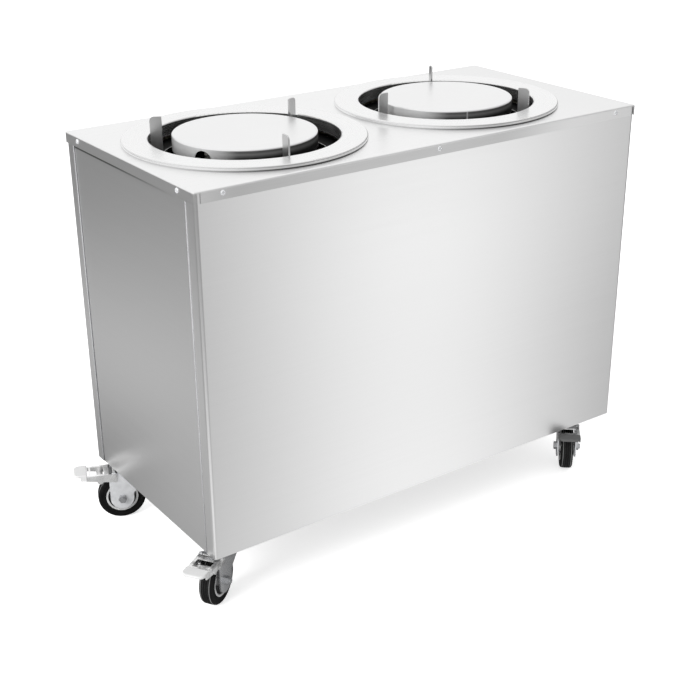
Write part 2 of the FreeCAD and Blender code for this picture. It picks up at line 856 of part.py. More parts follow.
# Controls on the right end
def control_panel():
    half_y = control_width / 2
    half_z = control_height / 2
    face = outline(rectangle(-half_y, half_y, control_z - half_z, control_z + half_z, control_corner),
                   lambda y, z: V(end_x, y, z))
    plate = Part.Face(face).extrude(V(control_sheet, 0, 0))
    plate = plate.cut(rod(thermostat_neck_r + control_fit, V(end_x, thermostat_y, control_z),
                          V(control_x, thermostat_y, control_z)))
    plate = plate.cut(rod(lamp_r + control_fit, V(end_x, lamp_y, control_z), V(control_x, lamp_y, control_z)))
    half_w = switch_width / 2 + control_fit
    half_h = switch_height / 2 + control_fit
    plate = plate.cut(box(end_x, control_x, switch_y - half_w, switch_y + half_w,
                          control_z - half_h, control_z + half_h))
    return plate.cut(screw_holes())


def right_end_cutouts():
    half_y = control_width / 2 - control_lap
    half_z = control_height / 2 - control_lap
    window = box(inner_x - panel_sheet, control_x, -half_y, half_y, control_z - half_z, control_z + half_z)
    gland = rod(gland_r + control_fit, V(inner_x - panel_sheet, 0, gland_z), V(control_x, 0, gland_z))
    return window.fuse(gland)


def thermostat():
    half = thermostat_size / 2
    at = V(end_x, thermostat_y, control_z)
    body = box(end_x - thermostat_depth, end_x, thermostat_y - half, thermostat_y + half,
               control_z - half, control_z + half)
    neck = rod(thermostat_neck_r, at, V(control_x + knob_gap / 2, thermostat_y, control_z))
    shaft = rod(thermostat_shaft_r, at, V(control_x + thermostat_shaft, thermostat_y, control_z))
    return fuse([body, neck, shaft])


def thermostat_knob():
    """A round skirt and a grip with a pointer rib, bored for the shaft."""
    bore = thermostat_shaft_r + running_fit
    depth = thermostat_shaft - knob_gap + knob_end_gap
    skirt = turned([(0, 0), (knob_r, 0), (knob_r, knob_skirt, knob_edge), (knob_grip_r, knob_skirt),
                    (knob_grip_r * 0.9, knob_height, knob_crown), (0, knob_height)])
    rib_low, rib_top = knob_skirt - knob_edge, knob_height - knob_rib_drop
    rib = box(0, knob_r - knob_edge, -knob_rib / 2, knob_rib / 2, rib_low, rib_top)
    knob = fuse([skirt, rib]).cut(Part.makeCylinder(bore, depth))
    centre = V(control_x + knob_gap, thermostat_y, control_z)
    knob.Placement = FreeCAD.Placement(centre, FreeCAD.Rotation(V(0, 0, 1), V(1, 0, 0)))
    return turn(knob, -knob_rest, centre, V(1, 0, 0))


def switch_housing():
    """A snap-in housing: a bezel outside the plate and a hollow body through it."""
    half_w = switch_width / 2
    half_h = switch_height / 2
    rim_w = half_w + switch_bezel
    rim_h = half_h + switch_bezel
    bezel = box(control_x, control_x + switch_bezel_height, switch_y - rim_w, switch_y + rim_w,
                control_z - rim_h, control_z + rim_h)
    body = box(control_x - switch_depth, control_x, switch_y - half_w, switch_y + half_w,
               control_z - half_h, control_z + half_h)
    in_w = half_w - switch_wall
    in_h = half_h - switch_wall
    hollow = box(control_x - switch_depth + 2 * switch_wall, control_x + switch_bezel_height, switch_y - in_w,
                 switch_y + in_w, control_z - in_h, control_z + in_h)
    reach = in_w + rocker_hole_end
    pivot = rod(rocker_pin_r + running_fit, V(rocker_x, switch_y - reach, control_z),
                V(rocker_x, switch_y + reach, control_z))
    return fuse([bezel, body]).cut(hollow.fuse(pivot))


def switch_rocker():
    """A rocker with a hollowed face on a pivot pin, tipped to its off side."""
    half_w = switch_width / 2 - switch_wall - rocker_gap
    face = rocker_depth + switch_bezel_height + rocker_rise
    room = switch_height / 2 - switch_wall - rocker_gap
    tilt = math.radians(rocker_tilt)
    h = (room - face * math.sin(tilt)) / math.cos(tilt)
    profile = [(-rocker_heel, -rocker_heel_half, 0), (face / 2, -h, 0), (face, -h, rocker_edge),
               (face - rocker_dish, 0, 0), (face, h, rocker_edge), (face / 2, h, 0),
               (-rocker_heel, rocker_heel_half, 0)]
    corners = [(rocker_x + a, control_z + b, c) for a, b, c in profile]
    paddle = slab(corners, switch_y - half_w, switch_y + half_w)
    pin_half = half_w + rocker_gap + rocker_pin_end
    pin_from = V(rocker_x, switch_y - pin_half, control_z)
    pin_to = V(rocker_x, switch_y + pin_half, control_z)
    pin = rod(rocker_pin_r, pin_from, pin_to)
    return turn(fuse([paddle, pin]), rocker_tilt, V(rocker_x, switch_y, control_z), V(0, 1, 0))


def pilot_lamp():
    """A bezel, a domed lens and a body behind the plate."""
    lamp = turned([(0, -lamp_depth), (lamp_r, -lamp_depth), (lamp_r, 0), (lamp_bezel_r, 0),
                   (lamp_bezel_r, lamp_bezel, lamp_bezel / 2), (lamp_r * 0.9, lamp_bezel),
                   (lamp_r * 0.8, lamp_dome, lamp_crown), (0, lamp_dome)])
    centre = V(control_x, lamp_y, control_z)
    lamp.Placement = FreeCAD.Placement(centre, FreeCAD.Rotation(V(0, 0, 1), V(1, 0, 0)))
    return lamp


def terminal_block():
    """A block with four screw pockets on the base tray."""
    x = stem_x - terminal_inset
    block = box(x - terminal_width / 2, x + terminal_width / 2, -terminal_length / 2, terminal_length / 2,
                tray_z, tray_z + terminal_height)
    for k in range(4):
        y = (k - 1.5) * terminal_length / 4
        top = tray_z + terminal_height
        block = block.cut(rod(terminal_width / 6, V(x, y, top - terminal_height / 2), V(x, y, top)))
    return block


def cable_gland():
    """A gland through the right end and the heater deck's flange, with its nut inside."""
    thread_end = tray_x - floor_sheet - gland_nut
    head = hexagon(2 * gland_flange_r * 0.9, V(end_x, 0, gland_z), V(end_x + gland_flange, 0, gland_z))
    thread = rod(gland_r, V(thread_end, 0, gland_z), V(end_x, 0, gland_z))
    nut = hexagon(2 * gland_flange_r * 0.9, V(thread_end, 0, gland_z), V(tray_x - floor_sheet, 0, gland_z))
    bore = rod(gland_bore_r, V(thread_end, 0, gland_z), V(end_x + gland_flange, 0, gland_z))
    return fuse([head, thread, nut]).cut(bore)


# Casters, made with the stem on the Z axis and the wheel trailing along +X
def at_stem(shape, name):
    return shift(turn(shape, caster_heading[name]), stems[name])


def caster_plate(stem):
    """A top plate with its race and the king pin that the fork turns on."""
    half_x = plate_length / 2
    half_y = plate_width / 2
    plate = prism(rectangle(-half_x, half_x, -half_y, half_y, plate_corner), plate_z, base_z)
    race = Part.makeCylinder(crown_r, race_height, V(0, 0, race_z))
    head_z = bridge_z - swivel_gap - king_head
    king = Part.makeCylinder(king_r, race_z - head_z, V(0, 0, head_z))
    head = Part.makeCylinder(king_head_r, king_head, V(0, 0, head_z))
    shape = shift(fuse([plate, race, king, head]), stem)
    return shape.cut(caster_bolt_holes())


def caster_bolt(place):
    """A round-headed bolt from below with its nut on the rail."""
    web_z = tray_z + rail_sheet
    head = rod(caster_bolt_head_r, place + V(0, 0, plate_z - caster_bolt_head), place + V(0, 0, plate_z))
    end_z = web_z + caster_nut + caster_bolt_end
    shank = rod(caster_bolt_r, place + V(0, 0, plate_z), place + V(0, 0, end_z))
    nut = hexagon(caster_nut_flats, place + V(0, 0, web_z), place + V(0, 0, web_z + caster_nut))
    return fuse([head, shank, nut])


def fork(with_ears):
    """A crown and bridge with two legs down to the axle, and ears for the pedal's pin on a braked caster."""
    end = fork_end_r
    rear = trail + end
    legs = []
    for v in (-leg_out, leg_in):
        leg = slab([(-fork_front, crown_z), (trail + fork_rear, crown_z, fork_corner),
                    (rear, crown_z - fork_neck, fork_shoulder), (rear, wheel_r - end, end * 0.999),
                    (trail - end, wheel_r - end, end * 0.999), (trail - end, wheel_r + end / 2, end / 2),
                    (-fork_front, crown_z - fork_neck)], v, v + fork_sheet)
        if with_ears:
            ear = rod(pedal_ear_r, V(pedal_u, v, pedal_z), V(pedal_u, v + fork_sheet, pedal_z))
            leg = leg.fuse(ear)
        legs.append(leg)
    bridge_end = pedal_u - pedal_pin_r - wheel_clear
    bridge = box(-fork_front, bridge_end, -leg_out, leg_out, bridge_z, crown_z)
    crown = Part.makeCylinder(crown_r, crown_height, V(0, 0, crown_z))
    shape = fuse([bridge, crown] + legs)
    bore_height = crown_z + crown_height - bridge_z
    shape = shape.cut(Part.makeCylinder(king_r + running_fit, bore_height, V(0, 0, bridge_z)))
    holes = rod(axle_r + seat_fit, V(trail, -leg_out, wheel_r), V(trail, leg_out, wheel_r))
    if with_ears:
        pin_start = V(pedal_u, -leg_out, pedal_z)
        pin_end = V(pedal_u, leg_out, pedal_z)
        holes = holes.fuse(rod(pedal_pin_r + running_fit, pin_start, pin_end))
    return shape.cut(holes)


def axle():
    """A hexagon bolt through the legs and its nut."""
    end = leg_out + axle_head + axle_end
    at = V(trail, 0, wheel_r)
    head = hexagon(axle_flats, at + V(0, -leg_out - axle_head, 0), at + V(0, -leg_out, 0))
    shank = rod(axle_r, at + V(0, -leg_out, 0), at + V(0, end, 0))
    nut = hexagon(axle_flats, at + V(0, leg_out, 0), at + V(0, leg_out + axle_head, 0))
    return fuse([head, shank]), nut.cut(rod(axle_r + seat_fit, at, at + V(0, end, 0)))


def on_axle(shape):
    """Lays a shape turned about Z onto the axle."""
    return shift(turn(shape, -90, axis=V(1, 0, 0)), V(trail, 0, wheel_r))


def wheel():
    """A pressed hub: a bored boss, a web and a rim that the tyre sits on."""
    bore = axle_r + running_fit
    half = tread_width / 2
    web = hub_web / 2
    rim_in = hub_rim_r - hub_rim
    edge, fillet = hub_edge, hub_fillet
    section = [(bore, -hub_half), (hub_boss_r, -hub_half, edge), (hub_boss_r, -web, fillet),
               (rim_in, -web, fillet), (rim_in, -half, edge), (hub_rim_r, -half), (hub_rim_r, half),
               (rim_in, half, edge), (rim_in, web, fillet), (hub_boss_r, web, fillet),
               (hub_boss_r, hub_half, edge), (bore, hub_half)]
    return on_axle(turned(section))


def tyre():
    """A rubber ring with rounded shoulders and two shallow grooves round its tread."""
    inner = hub_rim_r + running_fit
    half = tread_width / 2
    groove = half / 3
    low = wheel_r - tyre_groove
    section = [(inner, -half), (wheel_r, -half, tyre_shoulder)]
    for at in (-groove, groove):
        section += [(wheel_r, at - tyre_groove), (low, at), (wheel_r, at + tyre_groove)]
    section += [(wheel_r, half, tyre_shoulder), (inner, half)]
    return on_axle(turned(section))


def brake_pedal():
    """A channel lever riveted to the fork: deep cheeks, a windowed top, a foot pad and a brake bar."""
    side_in = leg_out + pedal_gap
    side_out = side_in + pedal_sheet
    top = pedal_sheet * 2
    low = top - pedal_side
    reach = pedal_length
    parts = []
    for v in (-side_out, side_in):
        cheek = [(-pedal_ear_r, low, pedal_base), (reach, top - pedal_toe_side, pedal_toe), (reach, top),
                 (-pedal_ear_r, top, pedal_heel)]
        parts.append(slab(cheek, v, v + pedal_sheet))
    start = pedal_ear_r + wheel_clear
    lid = box(start, reach, -side_out, side_out, top - pedal_sheet, top)
    rim = side_out - pedal_window_rim
    window = box(pedal_window_start, pedal_window_end, -rim, rim, low, 2 * top)
    slot = box(pedal_slot_start, pedal_slot_end, -rim, rim, low, 2 * top)
    parts.append(lid.cut(window).cut(slot))
    pad_low = top - pedal_sheet
    pad = prism([(reach - pedal_pad, -side_out), (reach + pedal_pad, -side_out, pedal_pad * 0.9),
                 (reach + pedal_pad, side_out, pedal_pad * 0.9), (reach - pedal_pad, side_out)],
                pad_low, pad_low + pedal_pad_sheet)
    level = [edge for edge in pad.Edges if edge.BoundBox.ZLength < pedal_sheet]
    parts.append(pad.makeFillet(pedal_pad_round, level))
    wheel_u = trail - pedal_u
    wheel_down = wheel_r - pedal_z
    radius = wheel_r + pedal_shoe_gap + pedal_shoe_r
    shoe_z = wheel_down + math.sqrt(radius ** 2 - (pedal_shoe_reach - wheel_u) ** 2)
    half = side_in + pedal_sheet / 2
    parts.append(rod(pedal_shoe_r, V(pedal_shoe_reach, -half, shoe_z), V(pedal_shoe_reach, half, shoe_z)))
    parts.append(rod(pedal_pin_r, V(0, -side_out, 0), V(0, side_out, 0)))
    for v in (-1, 1):
        parts.append(rod(pedal_rivet_r, V(0, v * side_out, 0), V(0, v * (side_out + pedal_rivet), 0)))
    return shift(fuse(parts), V(pedal_u, 0, pedal_z))


os.makedirs("parts", exist_ok=True)
holes = screw_holes()
bolt_holes = caster_bolt_holes()

export("front_panel", channel_panel().cut(holes))
export("rear_panel", turn(channel_panel(), 180).cut(holes))
left_end = box(-end_x, -inner_x, -end_panel_half, end_panel_half, base_z, panel_top_z)
right_end = box(inner_x, end_x, -end_panel_half, end_panel_half, base_z, panel_top_z)
export("left_end_panel", left_end.cut(holes))
export("right_end_panel", right_end.cut(holes).cut(right_end_cutouts()))
export("top_deck", top_deck())
export("panel_screws", *[screw(*place) for place in flange_screws() + control_screws()])
tray = open_tray(inner_x, inner_y, base_z, base_z + base_flange, base_sheet, base_corner)
export("base_tray", tray.cut(bolt_holes))
export("caster_rails", *[caster_rail(x).cut(bolt_holes) for x in (-stem_x, stem_x)])
export("heater_deck", heater_deck())
export("insulation_boards", *insulation_boards())

export("well_tubes", *[well_tube(side) for side in wells])
export("guide_rods", *[bar for side in wells for bar in guide_rods(side)])
export("heating_elements", *[heating_element(x) for x in wells.values()])
coil = lift_spring()
fin = guide_fin()
brackets = []
bolts = []
for side, x in wells.items():
    export(side + "_well_ring", well_ring(x))
    export(side + "_lift_springs", *lift_springs(side, coil))
    export(side + "_plate_disc", plate_disc(side))
    export(side + "_carrier", carrier(side))
    export(side + "_slide_bushes", *slide_bushes(side))
    for number, angle in enumerate(three_round(fin_angle[side]), 1):
        export(side + "_guide_fin_" + str(number), shift(turn(fin, angle), V(x, 0, 0)))
        brackets += [shift(turn(fin_bracket(high), angle), V(x, 0, 0)) for high in (False, True)]
        bolts += [shift(turn(fin_bolt(z), angle), V(x, 0, 0)) for z in fin_bolt_heights()]
export("fin_brackets", *brackets)

export("control_panel", control_panel())
export("thermostat", thermostat())
export("thermostat_knob", thermostat_knob())
export("switch_housing", switch_housing())
export("switch_rocker", switch_rocker())
export("pilot_lamp", pilot_lamp())
export("terminal_block", terminal_block())
export("cable_gland", cable_gland())

export("caster_plates", *[caster_plate(stem) for stem in stems.values()])
bolts += [caster_bolt(place) for stem in stems.values() for place in caster_bolt_places(stem)]
export("fixing_bolts", *bolts)
for name in stems:
    export(name + "_fork", at_stem(fork(name in braked), name))
    export(name + "_axle", *[at_stem(piece, name) for piece in axle()])
    export(name + "_wheel", at_stem(wheel(), name))
    export(name + "_tyre", at_stem(tyre(), name))
    if name in braked:
        export(name + "_brake_pedal", at_stem(brake_pedal(), name))
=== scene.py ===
import json
import math

import bmesh
import bpy
import numpy as np
from mathutils import Matrix, Vector


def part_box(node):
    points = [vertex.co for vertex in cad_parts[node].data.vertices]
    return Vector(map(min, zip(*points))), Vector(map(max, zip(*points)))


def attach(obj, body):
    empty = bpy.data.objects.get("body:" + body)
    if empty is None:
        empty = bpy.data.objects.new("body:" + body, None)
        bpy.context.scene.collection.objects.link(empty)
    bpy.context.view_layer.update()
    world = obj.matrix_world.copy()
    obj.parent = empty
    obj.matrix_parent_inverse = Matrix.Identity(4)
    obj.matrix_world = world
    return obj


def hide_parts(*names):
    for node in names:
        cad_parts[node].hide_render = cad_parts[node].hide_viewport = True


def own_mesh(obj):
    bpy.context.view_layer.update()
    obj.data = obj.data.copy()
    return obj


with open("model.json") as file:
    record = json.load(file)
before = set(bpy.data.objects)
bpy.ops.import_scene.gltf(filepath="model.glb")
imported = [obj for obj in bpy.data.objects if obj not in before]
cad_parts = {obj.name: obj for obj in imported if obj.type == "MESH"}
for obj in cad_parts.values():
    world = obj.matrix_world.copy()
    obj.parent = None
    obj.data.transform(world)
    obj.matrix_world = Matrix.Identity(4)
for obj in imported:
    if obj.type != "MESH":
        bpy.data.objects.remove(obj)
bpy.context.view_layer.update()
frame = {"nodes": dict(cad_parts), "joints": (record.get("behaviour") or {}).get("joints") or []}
nodes = frame["nodes"]
joints = {j["name"]: j for j in frame["joints"]}
WELLS = ("left", "right")
CASTERS = ("front_left", "rear_left", "front_right", "rear_right")
deck_low, deck_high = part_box("top_deck")
well_centre = {}
for side in WELLS:
    low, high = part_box(side + "_well_ring")
    well_centre[side] = ((low.x + high.x) / 2, (low.y + high.y) / 2)

# Light on the floor, as the metal shows it: a pool round the object and a beam that fans out from behind it
POOL_BASE, POOL_LEVEL, POOL_REACH, POOL_CENTRE = 0.25, 0.37, 1.6, (-0.5, 0.5)
BEAM_FROM, BEAM_ANGLE, BEAM_WIDTH, BEAM_NEAR, BEAM_FAR = (-1.30, 1.36), -51.2, 7.0, 0.55, 0.98
SHADE_AT, SHADE_REACH, SHADE_LEVEL = 0.50, 0.20, 0.48
GLOW_LEVEL, GLOW_REACH, UNDER_SHADE, SIDE_SHADE = 0.45, 1.3, 0.85, 0.25
AWAY, NEAR_LEVEL, FAR_LEVEL = (-0.50, 0.80), 0.58, 0.97
FLOOR_HALF, FLOOR_TONE, FLOOR_LIFT = 30.0, 0.86, 0.6
KEY_AT, KEY_AIM, KEY_SIZE, KEY_POWER = (-3.0, -0.8, 1.7), (0.0, 0.0, 0.3), 1.4, 70.0

# Camera: place, focal length in mm, and turn, tilt and roll in degrees
CAMERA_AT, CAMERA_LENS, CAMERA_ANGLES = (-1.304, -1.810, 1.286), 65.62, (35.26, 24.02, -0.41)

# Painted light and shade up a ring's rolled lip, from its foot (a shadow, a highlight, then shade), and
# down a disc's skirt, from its top (a highlight, then darkening bands)
LIP_LIGHT_AND_SHADE = ((0.0, 0.01), (0.16, 0.01), (0.26, 0.80), (0.58, 0.95), (0.70, 0.42), (0.86, 0.55),
             (0.97, 0.92))
SKIRT_LIGHT_AND_SHADE = ((0.06, 0.70), (0.13, 0.24), (0.22, 0.14), (0.36, 0.28), (0.48, 0.16), (0.62, 0.03))
SKIRT_DEPTH = 0.026
# Turns about a well's axis: where a disc's skirt has its painted highlight, and where a ring's lip has its
# painted shade strongest
SKIRT_HIGHLIGHT_TURN, LIP_SHADE_TURN = math.radians(190), math.radians(320)
WELD = {"left": math.radians(70), "right": math.radians(249)}

# Screws, safe edges, tubes, springs and wheels, in metres
FLANGE_SCREW_X, END_SCREW_Y, FLANGE_SCREW_Z = (-0.410, 0.0, 0.410), (-0.175, 0.175), 0.7345
CONTROL_SCREW_INSET, SCREW_RADIUS, SCREW_HEIGHT, HEM_RADIUS = 0.005, 0.0045, 0.0022, 0.0011
TUBE_MOUTH = 0.141
SPRING_CIRCLE, SPRING_ANGLE = 0.152, {"left": 85, "right": 122}
SPRING_RADIUS, WIRE_RADIUS, SPRING_TURNS, SPRING_END_GAP = 0.015, 0.001, 16, 0.0006
HUB_RADIUS, TYRE_RADIUS, TREAD_WIDTH, SHOULDER_HIGHLIGHT_AT = 0.030, 0.045, 0.024, 0.0082
PEDAL_PAD_START = 0.0515

# Plating of each fork: tone, roughness and bloom. Of each pedal: the dark of its mottle and its pad's tone.
# On the front casters the darker tones, the deeper mottle and the front right pad's dark tone are painted
# shade, for the shade under the cabinet's front
FORK_PLATE_AND_SHADE = {"front_left": (0.70, 0.16, 0.16), "rear_left": (0.97, 0.20, 0.42),
              "front_right": (0.85, 0.18, 0.30), "rear_right": (0.97, 0.20, 0.42)}
PEDAL_PLATE_AND_SHADE = {"front_left": (0.30, 0.62), "rear_left": (0.84, 0.65), "front_right": (0.25, 0.10),
               "rear_right": (0.84, 0.65)}


class Socket:
    """One output of a finish's nodes. Arithmetic on it adds Math nodes."""

    def __init__(self, finish, out):
        self.finish = finish
        self.out = out

    def math(self, operation, *values):
        sockets = {i: v for i, v in enumerate(values)}
        return self.finish.add("Math", {"operation": operation}, sockets)

    def __add__(self, other):
        return self.math("ADD", self, other)

    def __radd__(self, other):
        return self.math("ADD", other, self)

    def __sub__(self, other):
        return self.math("SUBTRACT", self, other)

    def __rsub__(self, other):
        return self.math("SUBTRACT", other, self)

    def __mul__(self, other):
        return self.math("MULTIPLY", self, other)

    def __rmul__(self, other):
        return self.math("MULTIPLY", other, self)

    def __truediv__(self, other):
        return self.math("DIVIDE", self, other)

    def __pow__(self, other):
        return self.math("POWER", self, other)

    def exp(self):
        return self.math("EXPONENT", self)

    def clamp(self):
        return self.finish.add("Clamp", {}, {"Value": self, "Min": 0.0, "Max": 1.0})

    def step(self, low, high):
        """0 below low, 1 above high and a smooth ramp between them."""
        return self.finish.add("MapRange", {"interpolation_type": "SMOOTHSTEP"},
                               {"Value": self, "From Min": low, "From Max": high})


class Finish:
    """One material: a Principled shader and the nodes that feed it."""

    def __init__(self, name, **constants):
        self.material = bpy.data.materials.new(name)
        self.material.use_nodes = True
        self.tree = self.material.node_tree
        self.shader = self.tree.nodes["Principled BSDF"]
        self.place = self.add("TexCoord", {}, {}, "Object")
        for key, value in constants.items():
            self.set(key.replace("_", " ").title().replace("Ior", "IOR"), value)

    def add(self, kind, settings, sockets, out=0):
        node = self.tree.nodes.new("ShaderNode" + kind)
        for key, value in settings.items():
            if key == "stops":
                while len(node.color_ramp.elements) < len(value):
                    node.color_ramp.elements.new(1.0)
                for element, (at, colour) in zip(node.color_ramp.elements, value):
                    element.position = at
                    element.color = (*colour, 1.0)
            else:
                setattr(node, key, value)
        for key, value in sockets.items():
            if isinstance(value, Socket):
                self.tree.links.new(value.out, node.inputs[key])
            else:
                node.inputs[key].default_value = value
        return Socket(self, node.outputs[out])

    def set(self, key, value):
        if isinstance(value, Socket):
            self.tree.links.new(value.out, self.shader.inputs[key])
        else:
            self.shader.inputs[key].default_value = (*value, 1.0) if isinstance(value, tuple) else value

    def stretched(self, scale, place=None):
        """Object coordinates, multiplied axis by axis."""
        return self.add("Mapping", {}, {"Vector": place or self.place, "Scale": scale})

    def noise(self, scale, detail=2.0, rough=0.5, place=None):
        """Smooth noise from 0 to 1; scale is cycles per metre, or one number for each axis."""
        if isinstance(scale, tuple):
            place = self.stretched(scale, place)
            scale = 1.0
        return self.add("TexNoise", {}, {"Vector": place or self.place, "Scale": scale, "Detail": detail,
                                         "Roughness": rough})

    def parts(self, place=None):
        split = self.add("SeparateXYZ", {}, {"Vector": place or self.place})
        return [Socket(self, o) for o in split.out.node.outputs]

    def mix(self, factor, low, high):
        """A colour between two colours."""
        sockets = {0: factor}
        for index, colour in ((6, low), (7, high)):
            sockets[index] = colour if isinstance(colour, Socket) else (*colour, 1.0)
        return self.add("Mix", {"data_type": "RGBA"}, sockets, 2)

    def bump(self, height, distance):
        self.set("Normal", self.add("Bump", {}, {"Height": height, "Distance": distance}))


def grey(value, warm=0.0):
    return (value * (1 + warm), value, value * (1 - warm))


def greys(tones):
    """A ramp's stops from pairs of place and tone."""
    return [(at, grey(tone)) for at, tone in tones]


# Finishes
def brushed_sheet(name, grain, shade_under_lap=None):
    """Brushed stainless: fine and coarse streaks along one axis, faint clouding, and slight smears
    in the gloss. Where another sheet laps over it, a painted shadow lies as a dark line just under the lap,
    fading out towards the front."""
    f = Finish(name, metallic=1.0)
    fine = f.noise(tuple(3.0 if k == grain else 900.0 for k in range(3)), 3.0, 0.6)
    coarse = f.noise(tuple(1.2 if k == grain else 90.0 for k in range(3)), 2.0)
    cloud = f.noise(2.2, 3.0)
    streak = fine * 0.65 + coarse * 0.35
    colour = f.mix(streak * 0.7 + cloud * 0.3, grey(0.84), grey(0.93))
    # painted shadow: a dark line just under the lapping flange, strongest at the rear and fading out
    # towards the front
    if shade_under_lap:
        x, y, z = f.parts()
        below = (z - shade_under_lap + 0.0030) / 0.0016
        colour = f.mix((below * below * -1.0).exp() * y.step(-0.20, 0.10), colour, grey(0.05))
    f.set("Base Color", colour)
    f.set("Roughness", 0.23 + streak * 0.12 + cloud * 0.05)
    f.bump(streak, 0.000012)
    return f.material


def deck_sheet(name, top):
    """The deck: brushed along its length on top, where painted shade greys it towards its right end.
    Round its folded flange it is rougher, with a coarse rub, and painted darker as painted shade, less so
    towards the right and at the left end."""
    f = Finish(name, metallic=1.0)
    x, y, z = f.parts()
    flange = 1.0 - z.step(top - 0.0040, top - 0.0015)
    fine = f.noise((3.0, 900.0, 900.0), 3.0, 0.6)
    cloud = f.noise(2.2, 3.0)
    rub = f.noise((14.0, 14.0, 700.0), 3.0, 0.6)
    flat = f.mix(fine * 0.7 + cloud * 0.3, grey(0.88), grey(0.96))
    # painted shade: the top greys towards its right end
    flat = f.mix(x.step(0.05, 0.46) * 0.6, flat, grey(0.82))
    # painted shade on the folded flange: darker than the top, less so towards the right and at the left
    # end, with a coarse rub over it
    shade_tone = 0.60 + x.step(0.12, 0.32) * 0.30 + (0.0 - x).step(0.38, 0.46) * 0.16
    shade_tone = shade_tone + rub * 0.07 + cloud * 0.03
    shaded_flange = f.add("CombineColor", {}, {"Red": shade_tone, "Green": shade_tone, "Blue": shade_tone})
    f.set("Base Color", f.mix(flange, flat, shaded_flange))
    f.set("Roughness", 0.24 + fine * 0.10 + flange * 0.10)
    f.bump(fine * (1.0 - flange) + rub * flange, 0.000008)
    return f.material


def fin_sheet(name):
    """A guide fin: a fine rub down its length, and dull in clouds."""
    f = Finish(name, metallic=1.0)
    fine = f.noise((1200.0, 1200.0, 25.0), 2.0)
    cloud = f.noise((30.0, 30.0, 12.0), 3.0)
    f.set("Base Color", f.mix(fine * 0.4 + cloud * 0.6, grey(0.60), grey(0.72)))
    f.set("Roughness", 0.26 + cloud * 0.14 + fine * 0.05)
    f.bump(fine, 0.000003)
    return f.material


def spun_sheet(name, centre, foot, top, lip):
    """A well ring: fine rings round the well's axis, and on its rolled lip painted light and shade, one
    above the other: a painted shadow at its foot, a painted highlight on the roll and painted shade on the
    neck, fainter on the far side and strongest towards the front right."""
    f = Finish(name, metallic=1.0)
    x, y, z = f.parts(f.add("VectorMath", {"operation": "SUBTRACT"}, {0: f.place, 1: (*centre, foot)}))
    radius = (x * x + y * y) ** 0.5
    turned = f.add("CombineXYZ", {}, {"X": radius * 800.0, "Y": z * 800.0, "Z": x * 3.0})
    rings = f.noise(1.0, 3.0, 0.6, turned)
    cloud = f.noise(5.0, 2.0)
    flat = f.mix(rings * 0.4 + cloud * 0.6, grey(0.90), grey(0.95))
    height = z / (top - foot)
    # painted light and shade up the lip by height: shadow at the foot, highlight on the roll, shade on the
    # neck, strongest towards the front right
    roll = f.add("ValToRGB", {"stops": greys(LIP_LIGHT_AND_SHADE)}, {"Fac": height})
    lean = (x * math.cos(LIP_SHADE_TURN) + y * math.sin(LIP_SHADE_TURN)) / radius
    edge = radius.step(lip - 0.0045, lip - 0.0035) * (0.30 + lean.step(-0.5, 0.6) * 0.65)
    f.set("Base Color", f.mix(edge, flat, roll))
    f.set("Roughness", 0.20 + rings * 0.10 + cloud * 0.05)
    f.bump(rings, 0.000003)
    return f.material


def lift_disc(name, centre, top, seam):
    """The disc: brushed across its top. Its rolled skirt carries painted light and shade: a highlight at
    the roll, darkening bands below it and a painted highlight down its left side. It is closed by a ground
    weld."""
    f = Finish(name, metallic=1.0)
    x, y, z = f.parts(f.add("VectorMath", {"operation": "SUBTRACT"}, {0: f.place, 1: (*centre, top)}))
    skirt = 1.0 - z.step(-0.0035, -0.0015)
    radius = (x * x + y * y) ** 0.5
    lean = (x * math.cos(SKIRT_HIGHLIGHT_TURN) + y * math.sin(SKIRT_HIGHLIGHT_TURN)) / radius
    across = (y * math.cos(seam) - x * math.sin(seam)) / 0.0012
    weld = (across * across * -1.0).exp() * (x * math.cos(seam) + y * math.sin(seam)).step(0.0, 0.01)
    brush = f.noise((2.5, 900.0, 900.0), 3.0, 0.6)
    band = f.noise((6.0, 6.0, 500.0), 2.0)
    cloud = f.noise(4.0, 2.0)
    streak = brush * (1.0 - skirt) + band * skirt
    flat = f.mix(streak * 0.6 + cloud * 0.4, grey(0.85), grey(0.95))
    # painted light and shade down the skirt: a highlight at the roll, then darkening bands
    bands = f.add("ValToRGB", {"stops": greys(SKIRT_LIGHT_AND_SHADE)}, {"Fac": z / -SKIRT_DEPTH + band * 0.06})
    # painted highlight down the side of the skirt that is turned towards the left
    rolled = f.mix(lean.step(0.70, 0.98), bands, grey(0.85))
    rolled = f.mix(weld * 0.7, rolled, grey(0.90))
    f.set("Base Color", f.mix(skirt, flat, rolled))
    f.set("Metallic", 1.0 - skirt * 0.4)
    f.set("Roughness", 0.24 + streak * 0.10 + cloud * 0.04)
    f.bump(streak, 0.000008)
    return f.material


def zinc_plate(name, tone=0.97, rough=0.20, bloom=0.42):
    """Bright zinc: a bluish plate with small clouds, fine flecks and a pale bloom that dulls its
    mirror."""
    f = Finish(name)
    cloud = f.noise(60.0, 4.0, 0.6)
    fleck = f.noise(600.0, 2.0)
    dim = (tone * 0.86, tone * 0.88, tone * 0.9)
    f.set("Base Color", f.mix(cloud * 0.7 + fleck * 0.3, dim, (tone, tone, tone * 1.02)))
    f.set("Metallic", 1.0 - bloom * (0.7 + cloud * 0.6))
    f.set("Roughness", rough - 0.06 + cloud * 0.14 + fleck * 0.05)
    f.bump(fleck, 0.000006)
    return f.material


